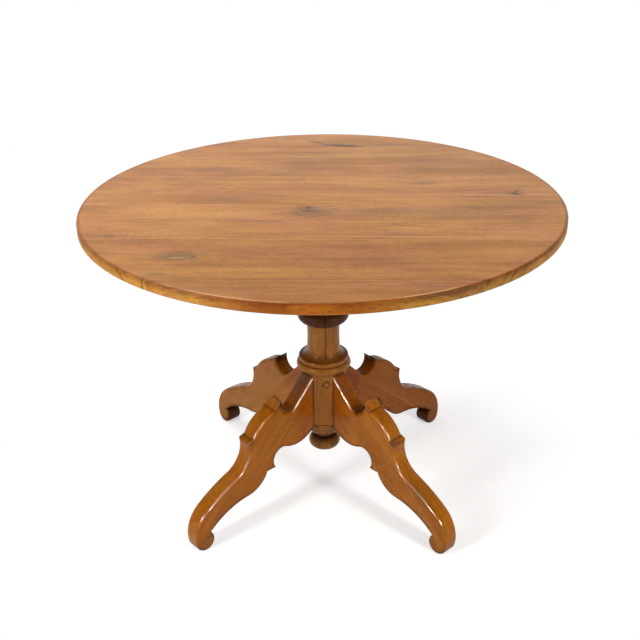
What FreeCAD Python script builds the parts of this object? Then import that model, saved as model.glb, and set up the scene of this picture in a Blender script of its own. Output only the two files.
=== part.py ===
"""Round pedestal table: a plank top on a turned column with four scrolled legs.

Millimetres, +Z up. The origin is on the floor under the middle of the column, the planks run
along X and the front of the table is towards -Y.
"""
import FreeCAD
import Part
import Sketcher

import math
import os
import re
from collections import namedtuple

from FreeCAD import Placement, Rotation, Vector

SIZES = {
    # Whole table
    "table_height": 740.0,
    "top_radius": 530.0,
    "top_thickness": 22.0,
    "rim_round": 4.0,
    "rim_bevel": 2.0,
    # Planks of the top
    "plank_count": 6,
    "front_plank_width": 100.0,
    "back_plank_width": 160.0,
    # Battens under the top
    "batten_offset": 260.0,
    "batten_width": 60.0,
    "batten_thickness": 25.0,
    "batten_inset": 75.0,
    "batten_bevel": 15.0,
    "batten_screw_margin": 60.0,
    "batten_screw_count": 6,
    # Bearer disc that holds the column's spigot
    "bearer_radius": 130.0,
    "bearer_thickness": 30.0,
    "bearer_bevel": 10.0,
    "bearer_screw_circle": 100.0,
    "bearer_screw_count": 8,
    # Wood screws
    "screw_radius": 2.5,
    "screw_head_radius": 5.0,
    "screw_bite": 13.0,
    "screw_point": 5.0,
    "screw_slot_width": 1.4,
    "screw_slot_depth": 1.2,
    "screw_slot_turn": 35.0,
    # Fits
    "fit_clearance": 0.1,
    "end_clearance": 0.5,
    # Column, upper turning
    "spigot_radius": 28.0,
    "cap_radius": 48.0,
    "cap_band": 9.0,
    "cap_cavetto": 14.0,
    "shaft_foot_radius": 41.0,
    "shaft_swell": 330.0,
    "flange_height": 464.0,
    "flange_radius": 60.3,
    "flange_bead": 16.0,
    "neck_radius": 39.0,
    "neck_hollow": 500.0,
    "flare_cavetto": 18.2,
    "band_radius": 57.5,
    "band_height": 12.0,
    "band_bulge": 10.0,
    "collar_radius": 64.7,
    "collar_bead": 10.0,
    # Column, eight-sided block
    "block_top": 326.0,
    "block_bottom": 188.5,
    "block_apothem": 53.0,
    # Column, turned cup under the block
    "groove_radius": 47.0,
    "groove_height": 3.0,
    "ring_radius": 51.0,
    "ring_height": 17.5,
    "ring_taper": 4.0,
    "ring_bulge": 21.0,
    "cup_step": 2.0,
    "cup_height": 15.0,
    "cup_taper": 5.0,
    "cup_bulge": 20.0,
    "cup_under": 8.0,
    "cup_seat_margin": 3.0,
    # Drying crack down the front of the column
    "crack_width": 1.6,
    "crack_offset": 6.6,
    "crack_floor": 33.0,
    "crack_rise": 38.0,
    # Wedge in the top of the spigot
    "wedge_length": 26.0,
    "wedge_width": 46.0,
    "wedge_thick_end": 4.0,
    "wedge_thin_end": 1.5,
    # Drop finial
    "finial_height": 117.0,
    "finial_radius": 38.6,
    "finial_bead": 17.0,
    "finial_dome": 4.0,
    "finial_spigot_radius": 11.0,
    "finial_spigot_length": 30.0,
    # Legs
    "leg_thickness": 42.0,
    "leg_edge_round": 7.0,
    # Leg outline, upper side from the column outwards
    "leg_top_drop": 4.0,
    "scoop_run": 76.0,
    "scoop_drop": 40.0,
    "scoop_radius": 26.0,
    "tip_rise": 13.0,
    "slope_run": 22.0,
    "slope_drop": 17.0,
    "bulge_run": 65.0,
    "bulge_drop": 50.0,
    "bulge_radius": 88.0,
    "ledge_run": 14.0,
    "ledge_drop": 4.0,
    "cove_radius": 65.0,
    "cove_dip": 14.0,
    "knee_radius": 369.0,
    "ankle_radius": 82.0,
    "ankle_height": 37.0,
    # Leg outline, scroll foot
    "foot_reach": 388.0,
    "foot_radius": 24.0,
    "foot_flat": 18.0,
    "heel_rise": 21.2,
    # Leg outline, underside from the foot inwards
    "arch_radius": 188.0,
    "shin_radius": 67.0,
    "shin_rise": 27.0,
    "under_ledge_reach": 203.0,
    "under_ledge_height": 127.0,
    "under_ledge_run": 26.0,
    "hollow_radius": 28.0,
    "hollow_rise": 17.0,
    "belly_radius": 74.0,
    "leg_root_drop": 2.5,
    # Tenons and their pegs
    "tenon_thickness": 20.0,
    "tenon_length": 41.0,
    "tenon_shoulder": 12.0,
    "peg_radius": 6.5,
    "peg_length": 45.0,
    "peg_drop": 25.0,
    "peg_offset": 8.0,
    "peg_proud": 1.5,
}

# Heights and lengths that follow from the sizes
UNDERSIDE = "(table_height - top_thickness)"
SHOULDER = "(table_height - top_thickness - bearer_thickness)"
PLANK_WIDTH = "((2 * top_radius - front_plank_width - back_plank_width) / (plank_count - 2))"
BATTEN_BOTTOM = "(table_height - top_thickness - batten_thickness)"
BATTEN_LENGTH = "(2 * sqrt(top_radius ^ 2 - batten_offset ^ 2) - 2 * batten_inset)"
BATTEN_SCREW_SPAN = f"({BATTEN_LENGTH} - 2 * batten_screw_margin)"
COLLAR_TOP = "(block_top + 2 * collar_bead)"
FLARE_EDGE = "(block_top + 2 * collar_bead + band_height)"
NECK_FOOT = "(block_top + 2 * collar_bead + band_height + flare_cavetto)"
FLANGE_BOTTOM = "(flange_height - flange_bead)"
FLANGE_TOP = "(flange_height + flange_bead)"
CAP_FOOT = f"({SHOULDER} - cap_band - cap_cavetto)"
RING_TOP = "(block_bottom - groove_height)"
CUP_TOP = "(block_bottom - groove_height - ring_height)"
CUP_FOOT = "(block_bottom - groove_height - ring_height - cup_height)"
CUP_SEAT = "(block_bottom - groove_height - ring_height - cup_height - cup_under)"
FINIAL_NECK = "(finial_radius - finial_bead)"
LEG_TOP = "(block_top - leg_top_drop)"
LEG_ROOT = "(block_bottom - leg_root_drop)"
TENON_TOP = "(block_top - leg_top_drop - tenon_shoulder)"
TENON_FOOT = "(block_bottom - leg_root_drop + tenon_shoulder)"
TENON_END = "(block_apothem - tenon_length)"
PEG_HEIGHT = "(block_top - peg_drop)"
FOOT_CENTRE = "sqrt(foot_radius ^ 2 - foot_flat ^ 2 / 4)"

# The four legs stand on the diagonals, each pinned by the peg to its left
LEGS = ("leg_front_right", "leg_rear_right", "leg_rear_left", "leg_front_left")
PEGS = ("leg_peg_front", "leg_peg_right", "leg_peg_rear", "leg_peg_left")
BLOCK_SIDES = 8
RIM_FACETS = 3
QUARTER_TURN = 90.0
FULL_TURN = 360.0

# Sketches number their own axes from -2, and the points of an edge from 1
UPRIGHT_AXIS, ACROSS_AXIS = range(-2, 0)
START, END, CENTRE = range(1, 4)
ORIGIN = (ACROSS_AXIS, START)
TOUCHING = 0.001

doc = FreeCAD.newDocument("pedestal_table")
sheet = doc.addObject("Spreadsheet::Sheet", "Sizes")
for row, (alias, number) in enumerate(SIZES.items(), start=1):
    sheet.set(f"A{row}", alias)
    sheet.set(f"B{row}", str(number))
    sheet.setAlias(f"B{row}", alias)
doc.recompute()


def tie(formula):
    """A formula in the sizes' names, as an expression that reads the sheet."""
    return re.sub(r"[a-z_]+", lambda word: f"Sizes.{word[0]}" if word[0] in SIZES else word[0], formula)


def size(formula):
    """The number that a formula in the sizes' names gives."""
    return float(sheet.evalExpression(tie(formula)))


def origin_item(body, role):
    """A plane or axis of a body's own origin."""
    return next(item for item in body.Origin.OriginFeatures if item.Role == role)


Edge = namedtuple("Edge", "geometry start end")


def start_of(edge):
    return (edge.geometry, edge.start)


def end_of(edge):
    return (edge.geometry, edge.end)


def centre_of(edge):
    return (edge.geometry, CENTRE)


class Outline:
    """A closed outline in a sketch, drawn edge by edge at its place and tied to the sheet."""

    def __init__(self, body, name, plane, offset="0"):
        self.sketch = body.newObject("Sketcher::SketchObject", name)
        self.sketch.AttachmentSupport = [(origin_item(body, plane), "")]
        self.sketch.MapMode = "FlatFace"
        self.sketch.setExpression("AttachmentOffset.Base.z", tie(offset))
        self.edges = []

    def begin(self, across, up):
        """The first point, given as formulas."""
        self.first = (across, up)
        self.here = (size(across), size(up))
        return self

    def line(self, across, up):
        """A straight edge to a point given as formulas."""
        edge = self.line_to((size(across), size(up)))
        self.hold(end_of(edge), across, up)
        return edge

    def arc(self, across, up, anticlockwise, radius=None, upright=None):
        """An arc to a point given as formulas, with a radius or with one end upright from its centre."""
        end = (size(across), size(up))
        if radius:
            centre = bow_centre(self.here, end, size(radius), anticlockwise)
        else:
            centre = upright_centre(*((self.here, end) if upright == "start" else (end, self.here)))
        edge = self.arc_to(centre, end, anticlockwise)
        self.hold(end_of(edge), across, up)
        if radius:
            self.radius(edge, radius)
        else:
            self.fix("Vertical", *(start_of(edge) if upright == "start" else end_of(edge)), *centre_of(edge))
        return edge

    def finish(self):
        """The straight edge back to the first point."""
        across, up = self.first
        first = self.edges[0]
        edge = self.line_to((size(across), size(up)))
        self.fix("Coincident", *end_of(edge), *start_of(first))
        self.hold(start_of(first), across, up)
        return self.sketch

    def line_to(self, end, smooth=False):
        segment = Part.LineSegment(Vector(*self.here, 0), Vector(*end, 0))
        self.here = end
        return self.join(Edge(self.sketch.addGeometry(segment), START, END), smooth)

    def arc_to(self, centre, end, anticlockwise, smooth=False):
        first, last = (self.here, end) if anticlockwise else (end, self.here)
        first_angle = math.atan2(first[1] - centre[1], first[0] - centre[0])
        last_angle = math.atan2(last[1] - centre[1], last[0] - centre[0])
        if last_angle <= first_angle:
            last_angle += math.tau
        circle = Part.Circle(Vector(*centre, 0), Vector(0, 0, 1), math.dist(centre, first))
        geometry = self.sketch.addGeometry(Part.ArcOfCircle(circle, first_angle, last_angle))
        self.here = end
        edge = Edge(geometry, START, END) if anticlockwise else Edge(geometry, END, START)
        return self.join(edge, smooth)

    def join(self, edge, smooth):
        if self.edges:
            self.fix("Tangent" if smooth else "Coincident", *end_of(self.edges[-1]), *start_of(edge))
        self.edges.append(edge)
        return edge

    def fix(self, *constraint):
        return self.sketch.addConstraint(Sketcher.Constraint(*constraint))

    def tied(self, formula, *constraint):
        index = self.fix(*constraint, size(formula))
        self.sketch.setExpression(f"Constraints[{index}]", tie(formula))

    def hold(self, point, across, up):
        self.gap("DistanceX", ORIGIN, point, across, UPRIGHT_AXIS)
        self.gap("DistanceY", ORIGIN, point, up, ACROSS_AXIS)

    def gap(self, kind, first, second, formula, axis):
        """Keeps a distance along one direction, or puts the second point on an axis."""
        if formula == "0":
            self.fix("PointOnObject", *second, axis)
        elif size(formula) < 0:
            self.tied(f"-({formula})", kind, *second, *first)
        else:
            self.tied(formula, kind, *first, *second)

    def right(self, left_point, right_point, formula):
        self.tied(formula, "DistanceX", *left_point, *right_point)

    def above(self, low_point, high_point, formula):
        self.tied(formula, "DistanceY", *low_point, *high_point)

    def radius(self, edge, formula):
        self.tied(formula, "Radius", edge.geometry)

    def middle(self, edge):
        """The middle point of an edge, in the sketch."""
        curve = self.sketch.Geometry[edge.geometry]
        return curve.value((curve.FirstParameter + curve.LastParameter) / 2)


def bow_centre(start, end, radius, anticlockwise):
    """Centre of the lesser arc of a radius between two points."""
    half_chord = math.dist(start, end) / 2
    depth = math.sqrt(radius**2 - half_chord**2) / (2 * half_chord)
    side = 1 if anticlockwise else -1
    middle_x, middle_y = (start[0] + end[0]) / 2, (start[1] + end[1]) / 2
    return (middle_x - side * depth * (end[1] - start[1]), middle_y + side * depth * (end[0] - start[0]))


def upright_centre(below, other):
    """Centre straight above or below one point, as far from the other."""
    run = other[0] - below[0]
    return (below[0], (run**2 + other[1] ** 2 - below[1] ** 2) / (2 * (other[1] - below[1])))


def crossing(first, first_radius, second, second_radius, side):
    """Where two circles cross: to the left of the way from the first to the second where side is 1."""
    apart = math.dist(first, second)
    along = (first_radius**2 - second_radius**2 + apart**2) / (2 * apart)
    aside = side * math.sqrt(first_radius**2 - along**2)
    run, rise = (second[0] - first[0]) / apart, (second[1] - first[1]) / apart
    return (first[0] + along * run - aside * rise, first[1] + along * rise + aside * run)


def towards(start, target, distance):
    """The point at a distance from the start, on the way to the target or past it."""
    share = distance / math.dist(start, target)
    return (start[0] + share * (target[0] - start[0]), start[1] + share * (target[1] - start[1]))


def rectangle(body, name, plane, left, right, low, high, offset="0"):
    outline = Outline(body, name, plane, offset).begin(left, low)
    outline.line(right, low)
    outline.line(right, high)
    outline.line(left, high)
    return outline.finish()


def circle_sketch(body, name, plane, across, up, radius, offset):
    """A sketch that holds one circle."""
    outline = Outline(body, name, plane, offset)
    circle = Part.Circle(Vector(size(across), size(up), 0), Vector(0, 0, 1), size(radius))
    edge = Edge(outline.sketch.addGeometry(circle), CENTRE, CENTRE)
    outline.hold(centre_of(edge), across, up)
    outline.radius(edge, radius)
    return outline.sketch


def new_body(label):
    body = doc.addObject("PartDesign::Body", label)
    body.Label = label
    return body


def revolve(body, sketch, name):
    feature = body.newObject("PartDesign::Revolution", name)
    feature.Profile = sketch
    feature.ReferenceAxis = (sketch, ["V_Axis"])
    feature.Angle = FULL_TURN
    return feature


def slab(body, kind, sketch, name, thickness):
    """A Pad or Pocket that goes equally far to both sides of its sketch."""
    feature = body.newObject(f"PartDesign::{kind}", name)
    feature.Profile = sketch
    feature.SideType = "Symmetric"
    feature.setExpression("Length", tie(thickness))
    return feature


def polar_pattern(body, name, features, count):
    pattern = body.newObject("PartDesign::PolarPattern", name)
    pattern.Originals = features
    pattern.Axis = (origin_item(body, "Z_Axis"), [""])
    pattern.Angle = FULL_TURN
    pattern.Occurrences = count
    body.Tip = pattern
    return pattern


def countersunk_hole(body, name, across, up, bottom):
    """A screw hole that goes upwards, sunk for the screw's head."""
    sketch = circle_sketch(body, f"{name}_sketch", "XY_Plane", across, up, "screw_radius", bottom)
    doc.recompute()
    hole = body.newObject("PartDesign::Hole", name)
    hole.Profile = sketch
    hole.Reversed = True
    hole.DepthType = "ThroughAll"
    hole.setExpression("Diameter", tie("2 * (screw_radius + fit_clearance)"))
    hole.HoleCutType = "Countersink"
    hole.HoleCutCountersinkAngle = QUARTER_TURN
    hole.setExpression("HoleCutDiameter", tie("2 * (screw_head_radius + fit_clearance)"))
    return hole


def top_disc():
    """The whole round top, before it is divided into planks."""
    body = new_body("top_disc")
    outline = Outline(body, "rim_profile", "XZ_Plane").begin("0", UNDERSIDE)
    outline.line("top_radius - rim_bevel", UNDERSIDE)
    outline.line("top_radius", f"{UNDERSIDE} + rim_bevel")
    for step in range(RIM_FACETS + 1):
        turn = f"({step * QUARTER_TURN / RIM_FACETS} deg)"
        outline.line(
            f"top_radius - rim_round * (1 - cos{turn})", f"table_height - rim_round * (1 - sin{turn})"
        )
    outline.line("0", "table_height")
    revolve(body, outline.finish(), "rim_turning")
    return body


def batten_screw_places():
    """Formulas for the batten screws' places under the top."""
    gaps = int(size("batten_screw_count")) - 1
    rows = [f"({BATTEN_SCREW_SPAN} * {step / gaps} - {BATTEN_SCREW_SPAN} / 2)" for step in range(gaps + 1)]
    return [(side, row) for side in ("-batten_offset", "batten_offset") for row in rows]


def bearer_screw_places():
    """Formulas for the bearer screws' places, evenly round the column."""
    count = int(size("bearer_screw_count"))
    turns = [f"({FULL_TURN * step / count} deg)" for step in range(count)]
    return [(f"bearer_screw_circle * cos{turn}", f"bearer_screw_circle * sin{turn}") for turn in turns]


def pilot_holes():
    """The holes that all the screws make in the underside of the top."""
    holes = []
    for number, (across, along) in enumerate(batten_screw_places() + bearer_screw_places(), start=1):
        hole = doc.addObject("Part::Cylinder", f"pilot_hole_{number}")
        hole.setExpression("Radius", tie("screw_radius + fit_clearance"))
        hole.setExpression("Height", tie("2 * (screw_bite + end_clearance)"))
        hole.setExpression("Placement.Base.x", tie(across))
        hole.setExpression("Placement.Base.y", tie(along))
        hole.setExpression("Placement.Base.z", tie(f"{UNDERSIDE} - screw_bite - end_clearance"))
        holes.append(hole)
    group = doc.addObject("Part::Compound", "pilot_holes")
    group.Links = holes
    return group


def top_planks():
    """Planks from the front to the back, each the part of the top between two glue joints."""
    drilled = doc.addObject("Part::Cut", "drilled_top")
    drilled.Base = top_disc()
    drilled.Tool = pilot_holes()
    joint_count = int(size("plank_count")) - 1
    joints = [f"({step} * {PLANK_WIDTH} + front_plank_width - top_radius)" for step in range(joint_count)]
    bounds = ["(-top_radius)"] + joints + ["top_radius"]
    planks = {}
    for number, (front, back) in enumerate(zip(bounds, bounds[1:]), start=1):
        strip = doc.addObject("Part::Box", f"plank_strip_{number}")
        strip.setExpression("Length", tie("2 * top_radius"))
        strip.setExpression("Width", tie(f"{back} - {front}"))
        strip.setExpression("Height", tie("3 * top_thickness"))
        strip.setExpression("Placement.Base.x", tie("-top_radius"))
        strip.setExpression("Placement.Base.y", tie(front))
        strip.setExpression("Placement.Base.z", tie(f"{UNDERSIDE} - top_thickness"))
        plank = doc.addObject("Part::Common", f"top_plank_{number}")
        plank.Base = drilled
        plank.Tool = strip
        planks[plank.Name] = plank
    return planks


def batten(label, side):
    """A cross batten with bevelled ends and a row of screw holes."""
    body = new_body(label)
    half = f"({BATTEN_LENGTH} / 2)"
    outline = Outline(body, f"{label}_profile", "YZ_Plane").begin(f"-{half} + batten_bevel", BATTEN_BOTTOM)
    outline.line(f"{half} - batten_bevel", BATTEN_BOTTOM)
    outline.line(half, f"{BATTEN_BOTTOM} + batten_bevel")
    outline.line(half, UNDERSIDE)
    outline.line(f"-{half}", UNDERSIDE)
    outline.line(f"-{half}", f"{BATTEN_BOTTOM} + batten_bevel")
    slab(body, "Pad", outline.finish(), f"{label}_board", "batten_width")
    hole = countersunk_hole(body, f"{label}_hole", "0", f"-{BATTEN_SCREW_SPAN} / 2", BATTEN_BOTTOM)
    doc.recompute()
    row_of_holes = body.newObject("PartDesign::LinearPattern", f"{label}_holes")
    row_of_holes.Originals = [hole]
    row_of_holes.Direction = (origin_item(body, "Y_Axis"), [""])
    row_of_holes.setExpression("Length", tie(BATTEN_SCREW_SPAN))
    row_of_holes.setExpression("Occurrences", tie("batten_screw_count"))
    body.Tip = row_of_holes
    body.setExpression("Placement.Base.x", tie(f"{side} * batten_offset"))
    return body


def bearer_disc():
    """The disc under the top that the spigot goes through."""
    body = new_body("bearer_disc")
    outline = Outline(body, "bearer_profile", "XZ_Plane").begin("spigot_radius + fit_clearance", SHOULDER)
    outline.line("bearer_radius - bearer_bevel", SHOULDER)
    outline.line("bearer_radius", f"{SHOULDER} + bearer_bevel")
    outline.line("bearer_radius", UNDERSIDE)
    outline.line("spigot_radius + fit_clearance", UNDERSIDE)
    revolve(body, outline.finish(), "bearer_turning")
    hole = countersunk_hole(body, "bearer_hole", "bearer_screw_circle", "0", SHOULDER)
    doc.recompute()
    polar_pattern(body, "bearer_holes", [hole], int(size("bearer_screw_count")))
    return body


def screw(name, grip):
    """One slotted screw that stands on its head, long enough for the wood that it grips."""
    body = new_body(name)
    length = f"({grip} + screw_bite)"
    outline = Outline(body, f"{name}_profile", "XZ_Plane").begin("0", "0")
    outline.line("screw_head_radius", "0")
    outline.line("screw_radius", "screw_head_radius - screw_radius")
    outline.line("screw_radius", f"{length} - screw_point")
    outline.line("0", length)
    revolve(body, outline.finish(), f"{name}_turning")
    half_slot = "(screw_slot_width / 2)"
    slot = rectangle(body, f"{name}_slot_sketch", "XZ_Plane", f"-{half_slot}", half_slot, "0", "screw_slot_depth")
    slab(body, "Pocket", slot, f"{name}_slot", "2 * screw_head_radius")
    return body


def screw_group(label, master, places, bottom):
    """A group of identical screws, each with its slot at another angle."""
    doc.recompute()
    screws = []
    for number, (across, along) in enumerate(places):
        turn = Rotation(Vector(0, 0, 1), number * size("screw_slot_turn"))
        copy = master.Shape.copy()
        copy.Placement = Placement(Vector(size(across), size(along), size(bottom)), turn)
        screws.append(copy)
    group = doc.addObject("Part::Feature", label)
    group.Shape = Part.makeCompound(screws)
    return group


def upper_turning(body):
    """The column from the block's top to the spigot's end."""
    outline = Outline(body, "upper_profile", "XZ_Plane").begin("0", "block_top")
    outline.line("collar_radius - collar_bead", "block_top")
    outline.arc("collar_radius - collar_bead", COLLAR_TOP, True, upright="start")
    outline.line("band_radius", COLLAR_TOP)
    outline.arc("band_radius", FLARE_EDGE, True, radius="band_bulge")
    outline.arc("band_radius - flare_cavetto", NECK_FOOT, False, upright="start")
    outline.arc("neck_radius", FLANGE_BOTTOM, False, radius="neck_hollow")
    outline.line("flange_radius - flange_bead", FLANGE_BOTTOM)
    outline.arc("flange_radius - flange_bead", FLANGE_TOP, True, upright="start")
    outline.line("shaft_foot_radius", FLANGE_TOP)
    outline.arc("cap_radius - cap_cavetto", CAP_FOOT, True, radius="shaft_swell")
    outline.arc("cap_radius", f"{SHOULDER} - cap_band", False, upright="end")
    outline.line("cap_radius", SHOULDER)
    outline.line("spigot_radius", SHOULDER)
    outline.line("spigot_radius", UNDERSIDE)
    outline.line("0", UNDERSIDE)
    revolve(body, outline.finish(), "upper_turning")


def leg_block(body):
    """The eight-sided block that the legs butt against."""
    block = body.newObject("PartDesign::AdditivePrism", "leg_block")
    block.AttachmentSupport = [(origin_item(body, "XY_Plane"), "")]
    block.MapMode = "FlatFace"
    half_side = FULL_TURN / BLOCK_SIDES / 2
    block.AttachmentOffset = Placement(Vector(0, 0, size("block_bottom")), Rotation(Vector(0, 0, 1), half_side))
    block.setExpression("AttachmentOffset.Base.z", tie("block_bottom"))
    block.Polygon = BLOCK_SIDES
    block.setExpression("Circumradius", tie(f"block_apothem / cos({half_side} deg)"))
    block.setExpression("Height", tie("block_top - block_bottom"))


def lower_cup(body):
    """The turned ring and cup under the block, bored for the finial's spigot."""
    bore = "(finial_spigot_radius + fit_clearance)"
    bore_end = f"({CUP_SEAT} + finial_spigot_length + end_clearance)"
    outline = Outline(body, "cup_profile", "XZ_Plane").begin("0", "block_bottom")
    outline.line("0", bore_end)
    outline.line(bore, bore_end)
    outline.line(bore, CUP_SEAT)
    outline.line(f"{FINIAL_NECK} + cup_seat_margin", CUP_SEAT)
    outline.line("ring_radius - ring_taper - cup_step - cup_taper", CUP_FOOT)
    outline.arc("ring_radius - ring_taper - cup_step", CUP_TOP, True, radius="cup_bulge")
    outline.line("ring_radius - ring_taper", CUP_TOP)
    outline.arc("ring_radius", RING_TOP, True, radius="ring_bulge")
    outline.line("groove_radius", RING_TOP)
    outline.line("groove_radius", "block_bottom")
    revolve(body, outline.finish(), "lower_cup")


def leg_joints(body):
    """Four mortises on the diagonals and the four peg holes that cross them."""
    mortise = rectangle(
        body, "mortise_sketch", "XZ_Plane",
        f"{TENON_END} - end_clearance", "collar_radius",
        f"{TENON_FOOT} - fit_clearance", f"{TENON_TOP} + fit_clearance",
    )
    mortise.AttachmentOffset = Placement(Vector(), Rotation(Vector(0, 1, 0), QUARTER_TURN / 2))
    mortise_cut = slab(body, "Pocket", mortise, "mortise", "tenon_thickness + 2 * fit_clearance")
    peg = circle_sketch(
        body, "peg_hole_sketch", "XZ_Plane", "peg_offset", PEG_HEIGHT, "peg_radius + fit_clearance",
        "block_apothem - peg_length - end_clearance",
    )
    peg_cut = body.newObject("PartDesign::Pocket", "peg_hole")
    peg_cut.Profile = peg
    peg_cut.Reversed = True
    peg_cut.setExpression("Length", tie("peg_length + 2 * end_clearance"))
    doc.recompute()
    polar_pattern(body, "leg_joints", [mortise_cut, peg_cut], len(LEGS))


def wedge_outline(body, name, clearance):
    """A wedge's outline, thick end up, smaller than its kerf by a clearance."""
    thick = f"(wedge_thick_end / 2 - {clearance})"
    thin = f"(wedge_thin_end / 2 - {clearance})"
    outline = Outline(body, name, "XZ_Plane").begin(f"-{thin}", f"{UNDERSIDE} - wedge_length + {clearance}")
    outline.line(thin, f"{UNDERSIDE} - wedge_length + {clearance}")
    outline.line(thick, UNDERSIDE)
    outline.line(f"-{thick}", UNDERSIDE)
    return outline.finish()


def column():
    body = new_body("column")
    upper_turning(body)
    leg_block(body)
    lower_cup(body)
    leg_joints(body)
    kerf = wedge_outline(body, "kerf_sketch", "0")
    slab(body, "Pocket", kerf, "kerf", "wedge_width + 2 * fit_clearance")
    crack = rectangle(
        body, "crack_sketch", "YZ_Plane", "-2 * flange_radius", "-crack_floor",
        "block_top + crack_rise", FLANGE_TOP, "crack_offset",
    )
    slab(body, "Pocket", crack, "drying_crack", "crack_width")
    return body


def spigot_wedge():
    body = new_body("spigot_wedge")
    sketch = wedge_outline(body, "wedge_profile", "fit_clearance")
    slab(body, "Pad", sketch, "wedge", "wedge_width")
    return body


def drop_finial():
    """The bun under the column, with the spigot that holds it."""
    body = new_body("drop_finial")
    outline = Outline(body, "finial_profile", "XZ_Plane").begin("0", f"{CUP_SEAT} + finial_spigot_length")
    outline.line("0", "finial_height - finial_bead - finial_dome")
    outline.arc(FINIAL_NECK, "finial_height - finial_bead", True, upright="start")
    outline.arc(FINIAL_NECK, "finial_height + finial_bead", True, upright="start")
    outline.line(FINIAL_NECK, CUP_SEAT)
    outline.line("finial_spigot_radius", CUP_SEAT)
    outline.line("finial_spigot_radius", f"{CUP_SEAT} + finial_spigot_length")
    revolve(body, outline.finish(), "finial_turning")
    return body


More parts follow.
